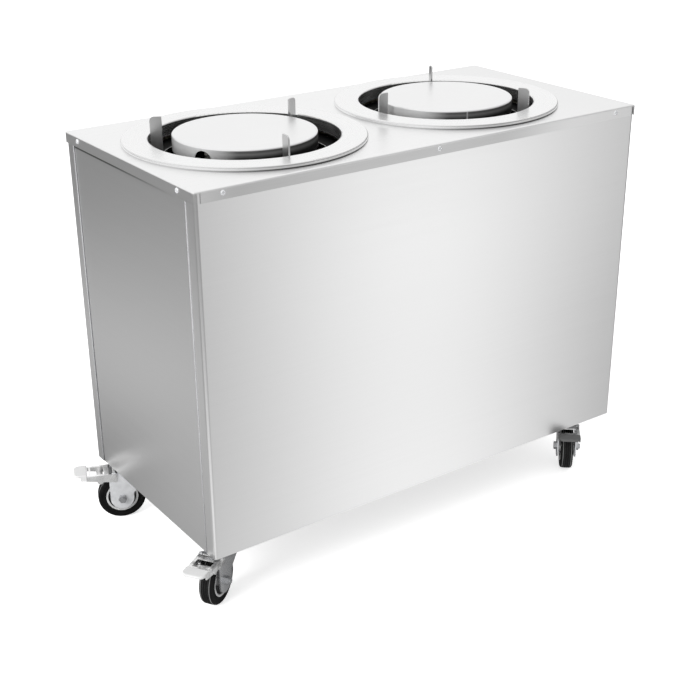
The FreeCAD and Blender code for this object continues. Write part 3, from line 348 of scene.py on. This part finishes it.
def wheel_plate(name, centre, axis, rim):
    """A pressed wheel: bright zinc on its rim, and painted shade in the dish inside it, dark and clouded.
    The radius is the length of the cross product of a point's place from the centre with the axle's
    direction."""
    f = Finish(name)
    out = f.add("VectorMath", {"operation": "SUBTRACT"}, {0: f.place, 1: tuple(centre)})
    across = f.add("VectorMath", {"operation": "CROSS_PRODUCT"}, {0: out, 1: tuple(axis)})
    radius = f.add("VectorMath", {"operation": "LENGTH"}, {0: across}, "Value")
    # painted shade: the dish inside the rim is dark, for the shade in the recess
    dish = (1.0 - radius.step(rim - 0.0045, rim - 0.0035)) * radius.step(0.011, 0.013)
    cloud = f.noise(70.0, 4.0, 0.6)
    bright = f.mix(cloud, grey(0.78), grey(0.90))
    shade_tone = f.mix(cloud, grey(0.05), grey(0.12))
    f.set("Base Color", f.mix(dish, bright, shade_tone))
    f.set("Metallic", 0.7 - cloud * 0.3)
    f.set("Roughness", 0.20 + cloud * 0.14 + dish * 0.2)
    f.bump(cloud, 0.00001)
    return f.material


def pedal_plate(name, pivot, along, start, dark, coat_tone):
    """A brake pedal: mottled zinc plate, bright and dark in turn, and a rubbed coating over its
    foot pad. On the front casters the deeper dark of the mottle, and the front right pad's dark tone, are
    painted shade."""
    f = Finish(name)
    out = f.add("VectorMath", {"operation": "SUBTRACT"}, {0: f.place, 1: tuple(pivot)})
    reach = f.add("VectorMath", {"operation": "DOT_PRODUCT"}, {0: out, 1: tuple(along)}, "Value")
    pad = reach.step(start - 0.0004, start + 0.0004)
    cloud = f.noise(60.0, 4.0, 0.6)
    fleck = f.noise(500.0, 2.0)
    plate = f.mix((cloud * 0.8 + fleck * 0.2).step(0.36, 0.60), grey(dark), grey(0.94))
    coat = f.mix(fleck * 0.6 + cloud * 0.4, grey(coat_tone * 0.92), grey(coat_tone * 1.08))
    f.set("Base Color", f.mix(pad, plate, coat))
    f.set("Metallic", (1.0 - pad) * (0.9 - cloud * 0.2))
    f.set("Roughness", 0.18 + cloud * 0.14 + pad * 0.4)
    f.bump(fleck, 0.00002)
    return f.material


def galvanised(name):
    """Hot-dip galvanised sheet: spangled crystals, each a little lighter or darker and duller or
    brighter."""
    f = Finish(name, metallic=1.0)
    cell = f.add("TexVoronoi", {}, {"Vector": f.place, "Scale": 70.0}, "Color")
    shade = f.add("SeparateColor", {}, {"Color": cell})
    haze = f.noise(25.0, 3.0)
    f.set("Base Color", f.mix(shade * 0.6 + haze * 0.4, grey(0.46), grey(0.66)))
    f.set("Roughness", 0.36 + shade * 0.14 + haze * 0.08)
    f.bump(shade, 0.00001)
    return f.material


def black_enamel(name, mouths=()):
    """Heat-proof black enamel with a slight orange peel and pale dust. Its black also stands in as painted
    shade for the deep inside of the wells. Round each tube's mouth lies a painted highlight, a bright ring
    where the rim catches the light."""
    f = Finish(name, specular_ior_level=0.12)
    peel = f.noise(350.0, 2.0)
    dust = f.noise(18.0, 4.0, 0.65)
    colour = f.mix(dust, grey(0.008), grey(0.018))
    x, y, z = f.parts()
    for centre in mouths:
        out_x = x - centre[0]
        out_y = y - centre[1]
        off = ((out_x * out_x + out_y * out_y) ** 0.5 - TUBE_MOUTH) / 0.0009
        # painted highlight: a bright ring round each tube's mouth, where the rim catches the light
        mouth_highlight = (off * off * -1.0).exp() * z.step(deck_high.z - 0.030, deck_high.z - 0.029)
        colour = f.mix(mouth_highlight, colour, grey(0.70))
    f.set("Base Color", colour)
    f.set("Roughness", 0.52 + dust * 0.22)
    f.bump(peel, 0.00006)
    return f.material


def drawn_wire(name):
    """Oil-tempered spring wire with drawing marks."""
    f = Finish(name, metallic=1.0)
    marks = f.noise(900.0, 2.0)
    cloud = f.noise(40.0, 3.0)
    f.set("Base Color", f.mix(marks * 0.5 + cloud * 0.5, grey(0.20, 0.02), grey(0.38, 0.01)))
    f.set("Roughness", 0.30 + cloud * 0.2)
    return f.material


def element_sheath(name):
    """A heating element's sheath, tinted brown and blue by heat."""
    f = Finish(name, metallic=1.0)
    heat = f.noise(22.0, 3.0)
    tints = [(0.2, (0.13, 0.11, 0.10)), (0.5, (0.22, 0.16, 0.11)), (0.8, (0.17, 0.18, 0.22))]
    f.set("Base Color", f.add("ValToRGB", {"stops": tints}, {"Fac": heat}))
    f.set("Roughness", 0.38 + f.noise(300.0) * 0.2)
    return f.material


def fibre_board(name):
    """Pressed mineral board: matted fibres with a soft nap."""
    f = Finish(name)
    mat = f.noise((500.0, 500.0, 120.0), 4.0, 0.65)
    patch = f.noise(14.0, 3.0)
    f.set("Base Color", f.mix(mat * 0.6 + patch * 0.4, (0.60, 0.55, 0.42), (0.86, 0.82, 0.70)))
    f.set("Roughness", 0.9 + mat * 0.1)
    f.bump(mat, 0.0006)
    return f.material


def rubber(name, centre, axis):
    """Black rubber: fine moulding texture, pale lines down the grooves of the tread and a painted highlight
    round each shoulder. The place across the tread is the distance from the wheel's mid plane."""
    f = Finish(name, specular_ior_level=0.2)
    out = f.add("VectorMath", {"operation": "SUBTRACT"}, {0: f.place, 1: tuple(centre)})
    across = f.add("VectorMath", {"operation": "DOT_PRODUCT"}, {0: out, 1: tuple(axis)}, "Value")
    across = across.math("ABSOLUTE", across)
    ring = f.add("VectorMath", {"operation": "CROSS_PRODUCT"}, {0: out, 1: tuple(axis)})
    radius = f.add("VectorMath", {"operation": "LENGTH"}, {0: ring}, "Value")
    grain = f.noise(900.0, 3.0)
    dust = f.noise(45.0, 4.0, 0.6)
    # painted highlight: a pale line round each shoulder
    shoulder_highlight = (across - SHOULDER_HIGHLIGHT_AT) / 0.0006
    groove = 1.0 - radius.step(TYRE_RADIUS - 0.0013, TYRE_RADIUS - 0.0008)
    groove = groove * (1.0 - across.step(0.0055, 0.0060))
    pale = (shoulder_highlight * shoulder_highlight * -1.0).exp() * radius.step(0.039, 0.042) * (0.4 + dust) + groove * 0.8
    black = f.mix(dust.step(0.35, 0.9), grey(0.003), grey(0.009, 0.03))
    f.set("Base Color", f.mix(pale.clamp(), black, grey(0.22)))
    f.set("Roughness", 0.5 + dust * 0.3)
    f.bump(grain, 0.00005)
    return f.material


def moulded(name, dark, light):
    """Moulded plastic with a spark-eroded grain."""
    f = Finish(name)
    spark = f.noise(1400.0, 2.0)
    cloud = f.noise(30.0, 3.0)
    f.set("Base Color", f.mix(cloud, dark, light))
    f.set("Roughness", 0.39 + spark * 0.12)
    f.bump(spark, 0.00006)
    return f.material


def lens_plastic(name, dark, light):
    """A coloured lens with moulded flutes inside it and a clear coat."""
    f = Finish(name, coat_weight=0.6, roughness=0.18)
    flute = f.add("TexWave", {"bands_direction": "Y"},
                  {"Vector": f.place, "Scale": 220.0, "Distortion": 0.3}, "Fac")
    f.set("Base Color", f.mix(flute, dark, light))
    return f.material


def printed(name, tone):
    """Screen-printed ink with a slight break-up."""
    f = Finish(name)
    f.set("Base Color", f.mix(f.noise(800.0, 2.0), grey(tone), grey(tone + 0.02)))
    f.set("Roughness", 0.5 + f.noise(400.0) * 0.1)
    return f.material


def dress(material, *names):
    for name in names:
        nodes[name].data.materials.clear()
        nodes[name].data.materials.append(material)


# Surfaces
def surface(name, grids, material, body, smooth=True):
    """A mesh of one or more grids of points, each of shape (rows, columns, 3), with quads between
    neighbours."""
    points, faces, start = [], [], 0
    for grid in grids:
        rows, columns = grid.shape[:2]
        index = start + np.arange(rows * columns).reshape(rows, columns)
        quads = np.stack([index[:-1, :-1], index[:-1, 1:], index[1:, 1:], index[1:, :-1]], -1)
        points.append(grid.reshape(-1, 3))
        faces.append(quads.reshape(-1, 4))
        start += rows * columns
    points = np.concatenate(points)
    faces = np.concatenate(faces)
    mesh = bpy.data.meshes.new(name)
    mesh.vertices.add(len(points))
    mesh.vertices.foreach_set("co", points.astype(np.float32).ravel())
    mesh.loops.add(faces.size)
    mesh.loops.foreach_set("vertex_index", faces.astype(np.int32).ravel())
    mesh.polygons.add(len(faces))
    mesh.polygons.foreach_set("loop_start", np.arange(0, faces.size, 4, dtype=np.int32))
    mesh.update(calc_edges=True)
    mesh.validate()
    piece = bpy.data.objects.new(name, mesh)
    bpy.context.scene.collection.objects.link(piece)
    close(mesh)
    mesh.polygons.foreach_set("use_smooth", np.full(len(mesh.polygons), smooth))
    mesh.materials.append(material)
    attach(piece, body)
    return piece


def close(mesh):
    """Merges the points where grids meet and turns the faces outwards."""
    work = bmesh.new()
    work.from_mesh(mesh)
    bmesh.ops.remove_doubles(work, verts=work.verts, dist=1e-6)
    bmesh.ops.dissolve_degenerate(work, edges=work.edges, dist=1e-7)
    bmesh.ops.recalc_face_normals(work, faces=work.faces)
    work.to_mesh(mesh)
    work.free()


def lathe(profile, steps):
    """Points (r cos t, r sin t, z) for a profile of (r, z) and t once round."""
    profile = np.asarray(profile, float)
    t = np.linspace(0, 2 * np.pi, steps + 1)
    t[-1] = 0
    r, z = profile[:, 0, None], profile[:, 1, None]
    return np.stack([r * np.cos(t), r * np.sin(t), z + 0 * t], -1)


def about_z(angle):
    """The matrix of a turn about Z."""
    c, s = math.cos(angle), math.sin(angle)
    return np.array([[c, -s, 0], [s, c, 0], [0, 0, 1]])


def carried(grid, axis, at):
    """A grid built on +Z, turned so that +Z lies along axis, and moved."""
    turn = np.array(Vector((0, 0, 1)).rotation_difference(Vector(axis)).to_matrix())
    return grid @ turn.T + np.asarray(at, float)


def pan_head(radius, height):
    """A pan-head screw with a cross recess, over r = 0 to 1 and t once round: z = h (1 - 0.5 r^2 -
    0.5 r^10), less the recess, which is deep where a point lies in either bar of the cross. It is
    closed underneath."""
    r = np.linspace(0, 1, 25)[:, None]
    t = np.linspace(0, 2 * np.pi, 65)[None, :]
    t[0, -1] = 0
    x, y = r * np.cos(t), r * np.sin(t)

    def within(v, half):
        return np.clip((half - np.abs(v)) * 8 + 0.5, 0, 1)

    cross = np.maximum(within(x, 0.16) * within(y, 0.58), within(y, 0.16) * within(x, 0.58)) * (1 - 0.8 * r)
    z = height * (1 - 0.5 * r ** 2 - 0.5 * r ** 10) - 0.9 * height * cross
    head = np.stack([x * radius, y * radius, z], -1)
    under = head[-1:] * np.array([[[1.0, 1.0, 0.0]], [[0.0, 0.0, 0.0]]]) - [0, 0, 0.0004]
    return np.concatenate([head, under])


def panel_screws():
    """The screws of the deck's flange and of the control panel, each turned a little
    differently."""
    places = []
    for side in (-1, 1):
        places += [((x, side * deck_high.y, FLANGE_SCREW_Z), (0, side, 0)) for x in FLANGE_SCREW_X]
        places += [((side * deck_high.x, y, FLANGE_SCREW_Z), (side, 0, 0)) for y in END_SCREW_Y]
    low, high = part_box("control_panel")
    for y in (low.y + CONTROL_SCREW_INSET, high.y - CONTROL_SCREW_INSET):
        for z in (low.z + CONTROL_SCREW_INSET, high.z - CONTROL_SCREW_INSET):
            places.append(((high.x, y, z), (1, 0, 0)))
    head = pan_head(SCREW_RADIUS, SCREW_HEIGHT)
    grids = []
    for k, (at, axis) in enumerate(places):
        grids.append(carried(head @ about_z(0.7 * k).T, axis, at))
    piece = surface("panel_screws_cross", grids, screw_steel, "cabinet")
    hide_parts("panel_screws")


def tyre_profile():
    """Half across: z is the place across the tread and r the radius. The tread is crowned, with
    three round grooves; the shoulders are quarter ellipses; the sidewalls carry fine rings down to
    the rim."""
    half, shoulder = TREAD_WIDTH / 2, 0.0045
    z = np.linspace(-half + shoulder, half - shoulder, 81)
    groove = sum(np.exp(-((z - at) / 0.00042) ** 4) for at in (-0.0045, 0.0, 0.0045))
    r = TYRE_RADIUS - 0.0006 * (z / half) ** 2 - 0.0010 * groove
    a = np.linspace(0, np.pi / 2, 12)[1:]
    turn_r = r[-1] - shoulder * (1 - np.cos(a))
    turn_z = z[-1] + shoulder * np.sin(a)
    side_r = np.linspace(turn_r[-1], HUB_RADIUS + 0.0003, 40)[1:]
    side_z = half - 0.0011 * np.sin(np.pi * (side_r - side_r[-1]) / (side_r[0] - side_r[-1])) ** 2
    side_z = side_z - 0.00016 * np.cos(2 * np.pi * side_r / 0.0016)
    right = np.concatenate([np.stack([turn_r, turn_z], -1), np.stack([side_r, side_z], -1)])
    left = right[::-1] * [1, -1]
    return np.concatenate([left, np.stack([r, z], -1), right, left[:1]])


def grooved_tyres():
    """A tyre on each wheel, lathed about its axle."""
    profile = tyre_profile()
    for name in CASTERS:
        roll = joints[name + "_roll"]
        grid = carried(lathe(profile, 120), roll["axis"], roll["pos_m"])
        piece = surface(name + "_tyre_grooved", [grid], tyre_rubber[name], name + "_wheel_set")
        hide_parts(name + "_tyre")


def coil(length):
    """A compression spring: a circle carried along a helix, with a point at each end. The height
    after u turns is the wire's radius plus close * u, and the turns between the close ends rise by
    a further lift each: the part of u that counts for it starts as t^2 / 2, runs as t - 1/2, and
    ends as it started."""
    active = SPRING_TURNS - 3
    close_pitch = 2 * WIRE_RADIUS + SPRING_END_GAP
    lift = (length - 2 * WIRE_RADIUS - 3 * close_pitch) / active - close_pitch
    u = np.linspace(0, SPRING_TURNS, 32 * SPRING_TURNS + 1)
    t = np.clip(u - 1, 0, active + 1)
    risen = np.where(t < 1, t ** 2 / 2, np.where(t > active, active - (active + 1 - t) ** 2 / 2, t - 0.5))
    height = WIRE_RADIUS + close_pitch * u + lift * risen
    phi = 2 * np.pi * u
    out = np.stack([np.cos(phi), np.sin(phi), 0 * phi], -1)
    line = out * SPRING_RADIUS + height[:, None] * [0, 0, 1]
    run = np.gradient(line, axis=0)
    run /= np.linalg.norm(run, axis=1, keepdims=True)
    across = np.cross(run, out)
    a = np.linspace(0, 2 * np.pi, 13)
    a[-1] = 0
    ring = out[:, None] * np.cos(a)[None, :, None] + across[:, None] * np.sin(a)[None, :, None]
    wire = line[:, None] + WIRE_RADIUS * ring
    ends = [np.repeat(line[k][None, None], len(a), 1) for k in (0, -1)]
    return np.concatenate([ends[0], wire, ends[1]])


def coil_springs():
    """Three springs under each disc, in place of the part's own springs."""
    for side in WELLS:
        low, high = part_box(side + "_lift_springs")
        length = high.z - low.z
        x, y = well_centre[side]
        grids = []
        for k in range(3):
            a = math.radians(SPRING_ANGLE[side] + 120 * k)
            at = [x + SPRING_CIRCLE * math.cos(a), y + SPRING_CIRCLE * math.sin(a), low.z]
            grids.append(coil(length) @ about_z(a).T + at)
        piece = surface(side + "_coil_springs", grids, spring_wire, "cabinet")
        travel = -joints[side + "_lift"]["range_m"][0]
        (length - travel) / length
        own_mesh(piece)
        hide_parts(side + "_lift_springs")


def return_hems():
    """A round safe edge down each folded return of the front and rear panels: a circle carried
    upwards, closed at both ends and sunk by half into the sheet."""
    a = np.linspace(0, 2 * np.pi, 25)[None, :]
    a[0, -1] = 0
    r = HEM_RADIUS * np.array([0.0, 1.0, 1.0, 0.0])[:, None]
    z = np.repeat([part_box("front_panel")[0].z + 0.001, deck_low.z - 0.0005], 2)[:, None]
    grids = []
    for node, side in (("front_panel", -1), ("rear_panel", 1)):
        low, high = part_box(node)
        edge = high.y if side < 0 else low.y
        for face in (low.x, high.x):
            grids.append(np.stack([face + r * np.sin(a), edge + r * np.cos(a), z + 0 * a], -1))
    surface("return_hems", grids, hem_steel, "cabinet")


def lettering(name, words, size, at, ink):
    """Words on the control panel, read from the end: their x runs along +Y and their y along +Z."""
    text = bpy.data.curves.new(name, "FONT")
    text.body = words
    text.size = size
    text.align_x = "CENTER"
    text.align_y = "CENTER"
    holder = bpy.data.objects.new(name, text)
    bpy.context.scene.collection.objects.link(holder)
    bpy.context.view_layer.update()
    mesh = bpy.data.meshes.new_from_object(holder.evaluated_get(bpy.context.evaluated_depsgraph_get()))
    bpy.data.objects.remove(holder)
    mesh.transform(Matrix(((0, 0, 1, at[0]), (1, 0, 0, at[1]), (0, 1, 0, at[2]), (0, 0, 0, 1))))
    mesh.materials.clear()
    mesh.materials.append(ink)
    piece = bpy.data.objects.new(name, mesh)
    bpy.context.scene.collection.objects.link(piece)
    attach(piece, "cabinet")


def dial_prints(ink):
    """Marks and numerals round the thermostat knob, and the words by the switch. A mark is a short
    bar whose long side points at the knob's axis."""
    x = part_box("control_panel")[1].x + 0.00005
    knob = joints["thermostat_turn"]["pos_m"]
    switch = joints["switch_rock"]["pos_m"]
    bars = []
    for k in range(7):
        a = math.radians(225 + 45 * k)
        out = np.array([math.sin(a), math.cos(a)])
        side = np.array([out[1], -out[0]])
        reach = np.array([0.0225, 0.0265])[:, None, None] * out
        flank = np.array([-0.0006, 0.0006])[None, :, None] * side
        yz = reach + flank + [knob[1], knob[2]]
        bars.append(np.concatenate([np.full((2, 2, 1), x), yz], -1))
        at = (x, knob[1] + 0.0315 * out[0], knob[2] + 0.0315 * out[1])
        lettering(f"dial_numeral_{k}", str(k), 0.0065, at, ink)
    surface("dial_marks", bars, ink, "cabinet", False)
    lettering("switch_on", "ON", 0.006, (x, switch[1], switch[2] + 0.0250), ink)
    lettering("switch_off", "OFF", 0.006, (x, switch[1], switch[2] - 0.0250), ink)


# Stage
def backdrop():
    """A white world for the eye. It lights the object fully from behind and above, and less from
    the near side."""
    world = bpy.data.worlds.new("studio")
    bpy.context.scene.world = world
    world.use_nodes = True
    tree = world.node_tree
    tree.nodes["Background"].inputs["Color"].default_value = (1, 1, 1, 1)
    place = tree.nodes.new("ShaderNodeTexCoord")
    side = tree.nodes.new("ShaderNodeVectorMath")
    side.operation = "DOT_PRODUCT"
    side.inputs[1].default_value = (*AWAY, 0.35)
    tree.links.new(place.outputs["Generated"], side.inputs[0])
    fade = tree.nodes.new("ShaderNodeMapRange")
    fade.interpolation_type = "SMOOTHSTEP"
    for key, value in (("From Min", -0.7), ("From Max", 0.2),
                       ("To Min", NEAR_LEVEL), ("To Max", FAR_LEVEL)):
        fade.inputs[key].default_value = value
    tree.links.new(side.outputs["Value"], fade.inputs["Value"])
    path = tree.nodes.new("ShaderNodeLightPath")
    level = tree.nodes.new("ShaderNodeMapRange")
    tree.links.new(path.outputs["Is Camera Ray"], level.inputs["Value"])
    tree.links.new(fade.outputs[0], level.inputs["To Min"])
    tree.links.new(level.outputs[0], tree.nodes["Background"].inputs["Strength"])


def studio_floor():
    """A white floor that keeps the object's shadow. In the metal it shows a broad pool of light
    round the object and a soft beam across the floor in front."""
    mesh = bpy.data.meshes.new("floor")
    corners = [(x * FLOOR_HALF, y * FLOOR_HALF, 0) for x, y in ((-1, -1), (1, -1), (1, 1), (-1, 1))]
    mesh.from_pydata(corners, [], [(0, 1, 2, 3)])
    floor = bpy.data.objects.new("floor", mesh)
    bpy.context.scene.collection.objects.link(floor)
    f = Finish("studio_floor", base_color=grey(FLOOR_TONE), roughness=0.9)
    x, y, z = f.parts()
    away_x = x - BEAM_FROM[0]
    away_y = y - BEAM_FROM[1]
    swing = (away_y.math("ARCTAN2", away_y, away_x) - math.radians(BEAM_ANGLE)) / math.radians(BEAM_WIDTH)
    fan = (swing * swing * -0.5).exp()
    ahead = 0.0 - y
    beam = fan * ahead.step(0.05, 0.4) * (BEAM_NEAR + ahead.step(0.3, 1.8) * (BEAM_FAR - BEAM_NEAR))
    off_x = x - POOL_CENTRE[0]
    off_y = y - POOL_CENTRE[1]
    pool = ((off_x * off_x + off_y * off_y) / -POOL_REACH ** 2).exp()
    glow_x = 0.0 - x - deck_high.x
    glow_y = 0.0 - y - deck_high.y
    glow = ((glow_x * glow_x + glow_y * glow_y) / -GLOW_REACH ** 2).exp()
    glow = glow_x.step(0.0, 0.15) * glow_y.step(0.0, 0.15) * glow
    # painted shadow in the metal's view of the floor: darker beside the left end, under the cabinet, and
    # off to the side of the beam
    out = (x + SHADE_AT) / SHADE_REACH
    beside = y.step(-0.35, -0.10)
    shade = 1.0 - beside * ((out * out * -1.0).exp() * SHADE_LEVEL + (0.0 - x).step(0.88, 1.08) * 0.2)
    shade = shade * (1.0 - beside * 0.12 + beside * y.step(0.0, 0.8) * 0.16)
    shade = shade * (1.0 + beside * x.step(-0.85, -0.55) * (0.42 - y.step(-0.05, 0.55) * 0.68))
    in_x = deck_high.x - x.math("ABSOLUTE", x)
    in_y = deck_high.y - y.math("ABSOLUTE", y)
    shade = shade * (1.0 - in_x.step(-0.04, 0.06) * in_y.step(-0.04, 0.06) * UNDER_SHADE)
    shade = shade * (1.0 - ahead.step(0.20, 0.30) * swing.step(0.3, 1.5) * SIDE_SHADE)
    lit = (POOL_BASE + pool * POOL_LEVEL) * shade + beam + glow * GLOW_LEVEL
    plain = Socket(f, f.shader.outputs[0])
    seen = f.add("AddShader", {}, {0: plain, 1: f.add("Emission", {}, {"Strength": FLOOR_LIFT})})
    mirrored = f.add("Emission", {}, {"Strength": lit})
    eye = f.add("LightPath", {}, {}, "Is Camera Ray")
    metal = f.add("LightPath", {}, {}, "Is Glossy Ray")
    by_eye = f.add("MixShader", {}, {0: eye, 1: plain, 2: seen})
    by_metal = f.add("MixShader", {}, {0: metal, 1: by_eye, 2: mirrored})
    f.tree.links.new(by_metal.out, f.tree.nodes["Material Output"].inputs["Surface"])
    mesh.materials.append(f.material)


def softbox():
    """A square area lamp aimed at the cabinet. It lights what is dull and doesn't show in the
    metal."""
    light = bpy.data.lights.new("key", "AREA")
    light.size = KEY_SIZE
    light.energy = KEY_POWER
    lamp = bpy.data.objects.new("key", light)
    lamp.visible_glossy = False
    lamp.location = KEY_AT
    lamp.rotation_euler = (Vector(KEY_AIM) - Vector(KEY_AT)).to_track_quat("-Z", "Y").to_euler()
    bpy.context.scene.collection.objects.link(lamp)


def camera():
    """Looks at the cabinet from its front left corner, a little above it."""
    data = bpy.data.cameras.new("camera")
    data.sensor_width = 36.0
    data.lens = CAMERA_LENS
    turn, tilt, roll = (math.radians(a) for a in CAMERA_ANGLES)
    view = Matrix.Rotation(-turn, 4, "Z") @ Matrix.Rotation(math.pi / 2 - tilt, 4, "X")
    view = view @ Matrix.Rotation(roll, 4, "Z")
    cam = bpy.data.objects.new("camera", data)
    cam.matrix_world = Matrix.Translation(CAMERA_AT) @ view
    bpy.context.scene.collection.objects.link(cam)
    bpy.context.scene.camera = cam


level = brushed_sheet("stainless_level_grain", 0)
dress(level, "front_panel", "rear_panel", "control_panel")
dress(deck_sheet("deck_steel", deck_high.z), "top_deck")
# the end panels carry a painted shadow line under the deck's flange
cross = brushed_sheet("stainless_cross_grain", 1, shade_under_lap=deck_low.z)
dress(cross, "left_end_panel", "right_end_panel")
for side in WELLS:
    low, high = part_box(side + "_well_ring")
    lip = (high.x - low.x) / 2
    ring_steel = spun_sheet(side + "_ring_steel", well_centre[side], deck_high.z, high.z, lip)
    dress(ring_steel, side + "_well_ring")
    disc_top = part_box(side + "_plate_disc")[1].z
    dress(lift_disc(side + "_disc_steel", well_centre[side], disc_top, WELD[side]), side + "_plate_disc")
fin_steel = fin_sheet("fin_steel")
dress(fin_steel, *[f"{side}_guide_fin_{k}" for side in WELLS for k in (1, 2, 3)])
zinc = zinc_plate("zinc_plate")
dress(zinc, "panel_screws", "caster_plates", "fixing_bolts")
screw_steel = zinc_plate("screw_steel", 0.86, 0.20)
axle_zinc = zinc_plate("axle_zinc", 0.55, 0.16, 0.2)
hem_steel = zinc_plate("hem_steel", 0.46, 0.30, 0.90)
tyre_rubber = {}
for name in CASTERS:
    # each caster takes its own plating; the front casters' darker tones are painted shade
    dress(zinc_plate(name + "_fork_zinc", *FORK_PLATE_AND_SHADE[name]), name + "_fork")
    dress(axle_zinc, name + "_axle")
    roll = joints[name + "_roll"]
    dress(wheel_plate(name + "_wheel_zinc", roll["pos_m"], roll["axis"], HUB_RADIUS), name + "_wheel")
    tyre_rubber[name] = rubber(name + "_tyre_rubber", roll["pos_m"], roll["axis"])
    dress(tyre_rubber[name], name + "_tyre")
    brake = joints[name + "_brake"]
    along = Vector(brake["axis"]).cross(Vector((0, 0, 1)))
    dress(pedal_plate(name + "_pedal_zinc", brake["pos_m"], along, PEDAL_PAD_START, *PEDAL_PLATE_AND_SHADE[name]),
          name + "_brake_pedal")
galvanised_sheet = galvanised("galvanised_sheet")
dress(galvanised_sheet, "base_tray", "caster_rails", "heater_deck")
# the black of the well tubes and of the parts down in the wells is also painted shade
dress(black_enamel("tube_enamel_and_shade", list(well_centre.values())), "well_tubes")
enamel_and_shade = black_enamel("black_enamel")
dress(enamel_and_shade, "fin_brackets", "guide_rods", "left_carrier", "right_carrier")
spring_wire = drawn_wire("spring_wire")
dress(spring_wire, "left_lift_springs", "right_lift_springs")
dress(element_sheath("element_sheath"), "heating_elements")
dress(fibre_board("fibre_board"), "insulation_boards")
dress(moulded("nylon", (0.70, 0.68, 0.62), (0.80, 0.78, 0.72)), "left_slide_bushes", "right_slide_bushes")
black = moulded("black_moulding", grey(0.012), grey(0.022))
dress(black, "thermostat", "thermostat_knob", "switch_housing", "cable_gland")
dress(moulded("terminal_moulding", (0.66, 0.64, 0.57), (0.78, 0.76, 0.70)), "terminal_block")
dress(lens_plastic("green_rocker", (0.01, 0.10, 0.03), (0.02, 0.22, 0.06)), "switch_rocker")
dress(lens_plastic("amber_lens", (0.55, 0.13, 0.01), (0.85, 0.30, 0.03)), "pilot_lamp")

panel_screws()
grooved_tyres()
coil_springs()
return_hems()
dial_prints(printed("dial_ink", 0.015))

bpy.context.scene.view_settings.view_transform = "Standard"
backdrop()
studio_floor()
softbox()
camera()
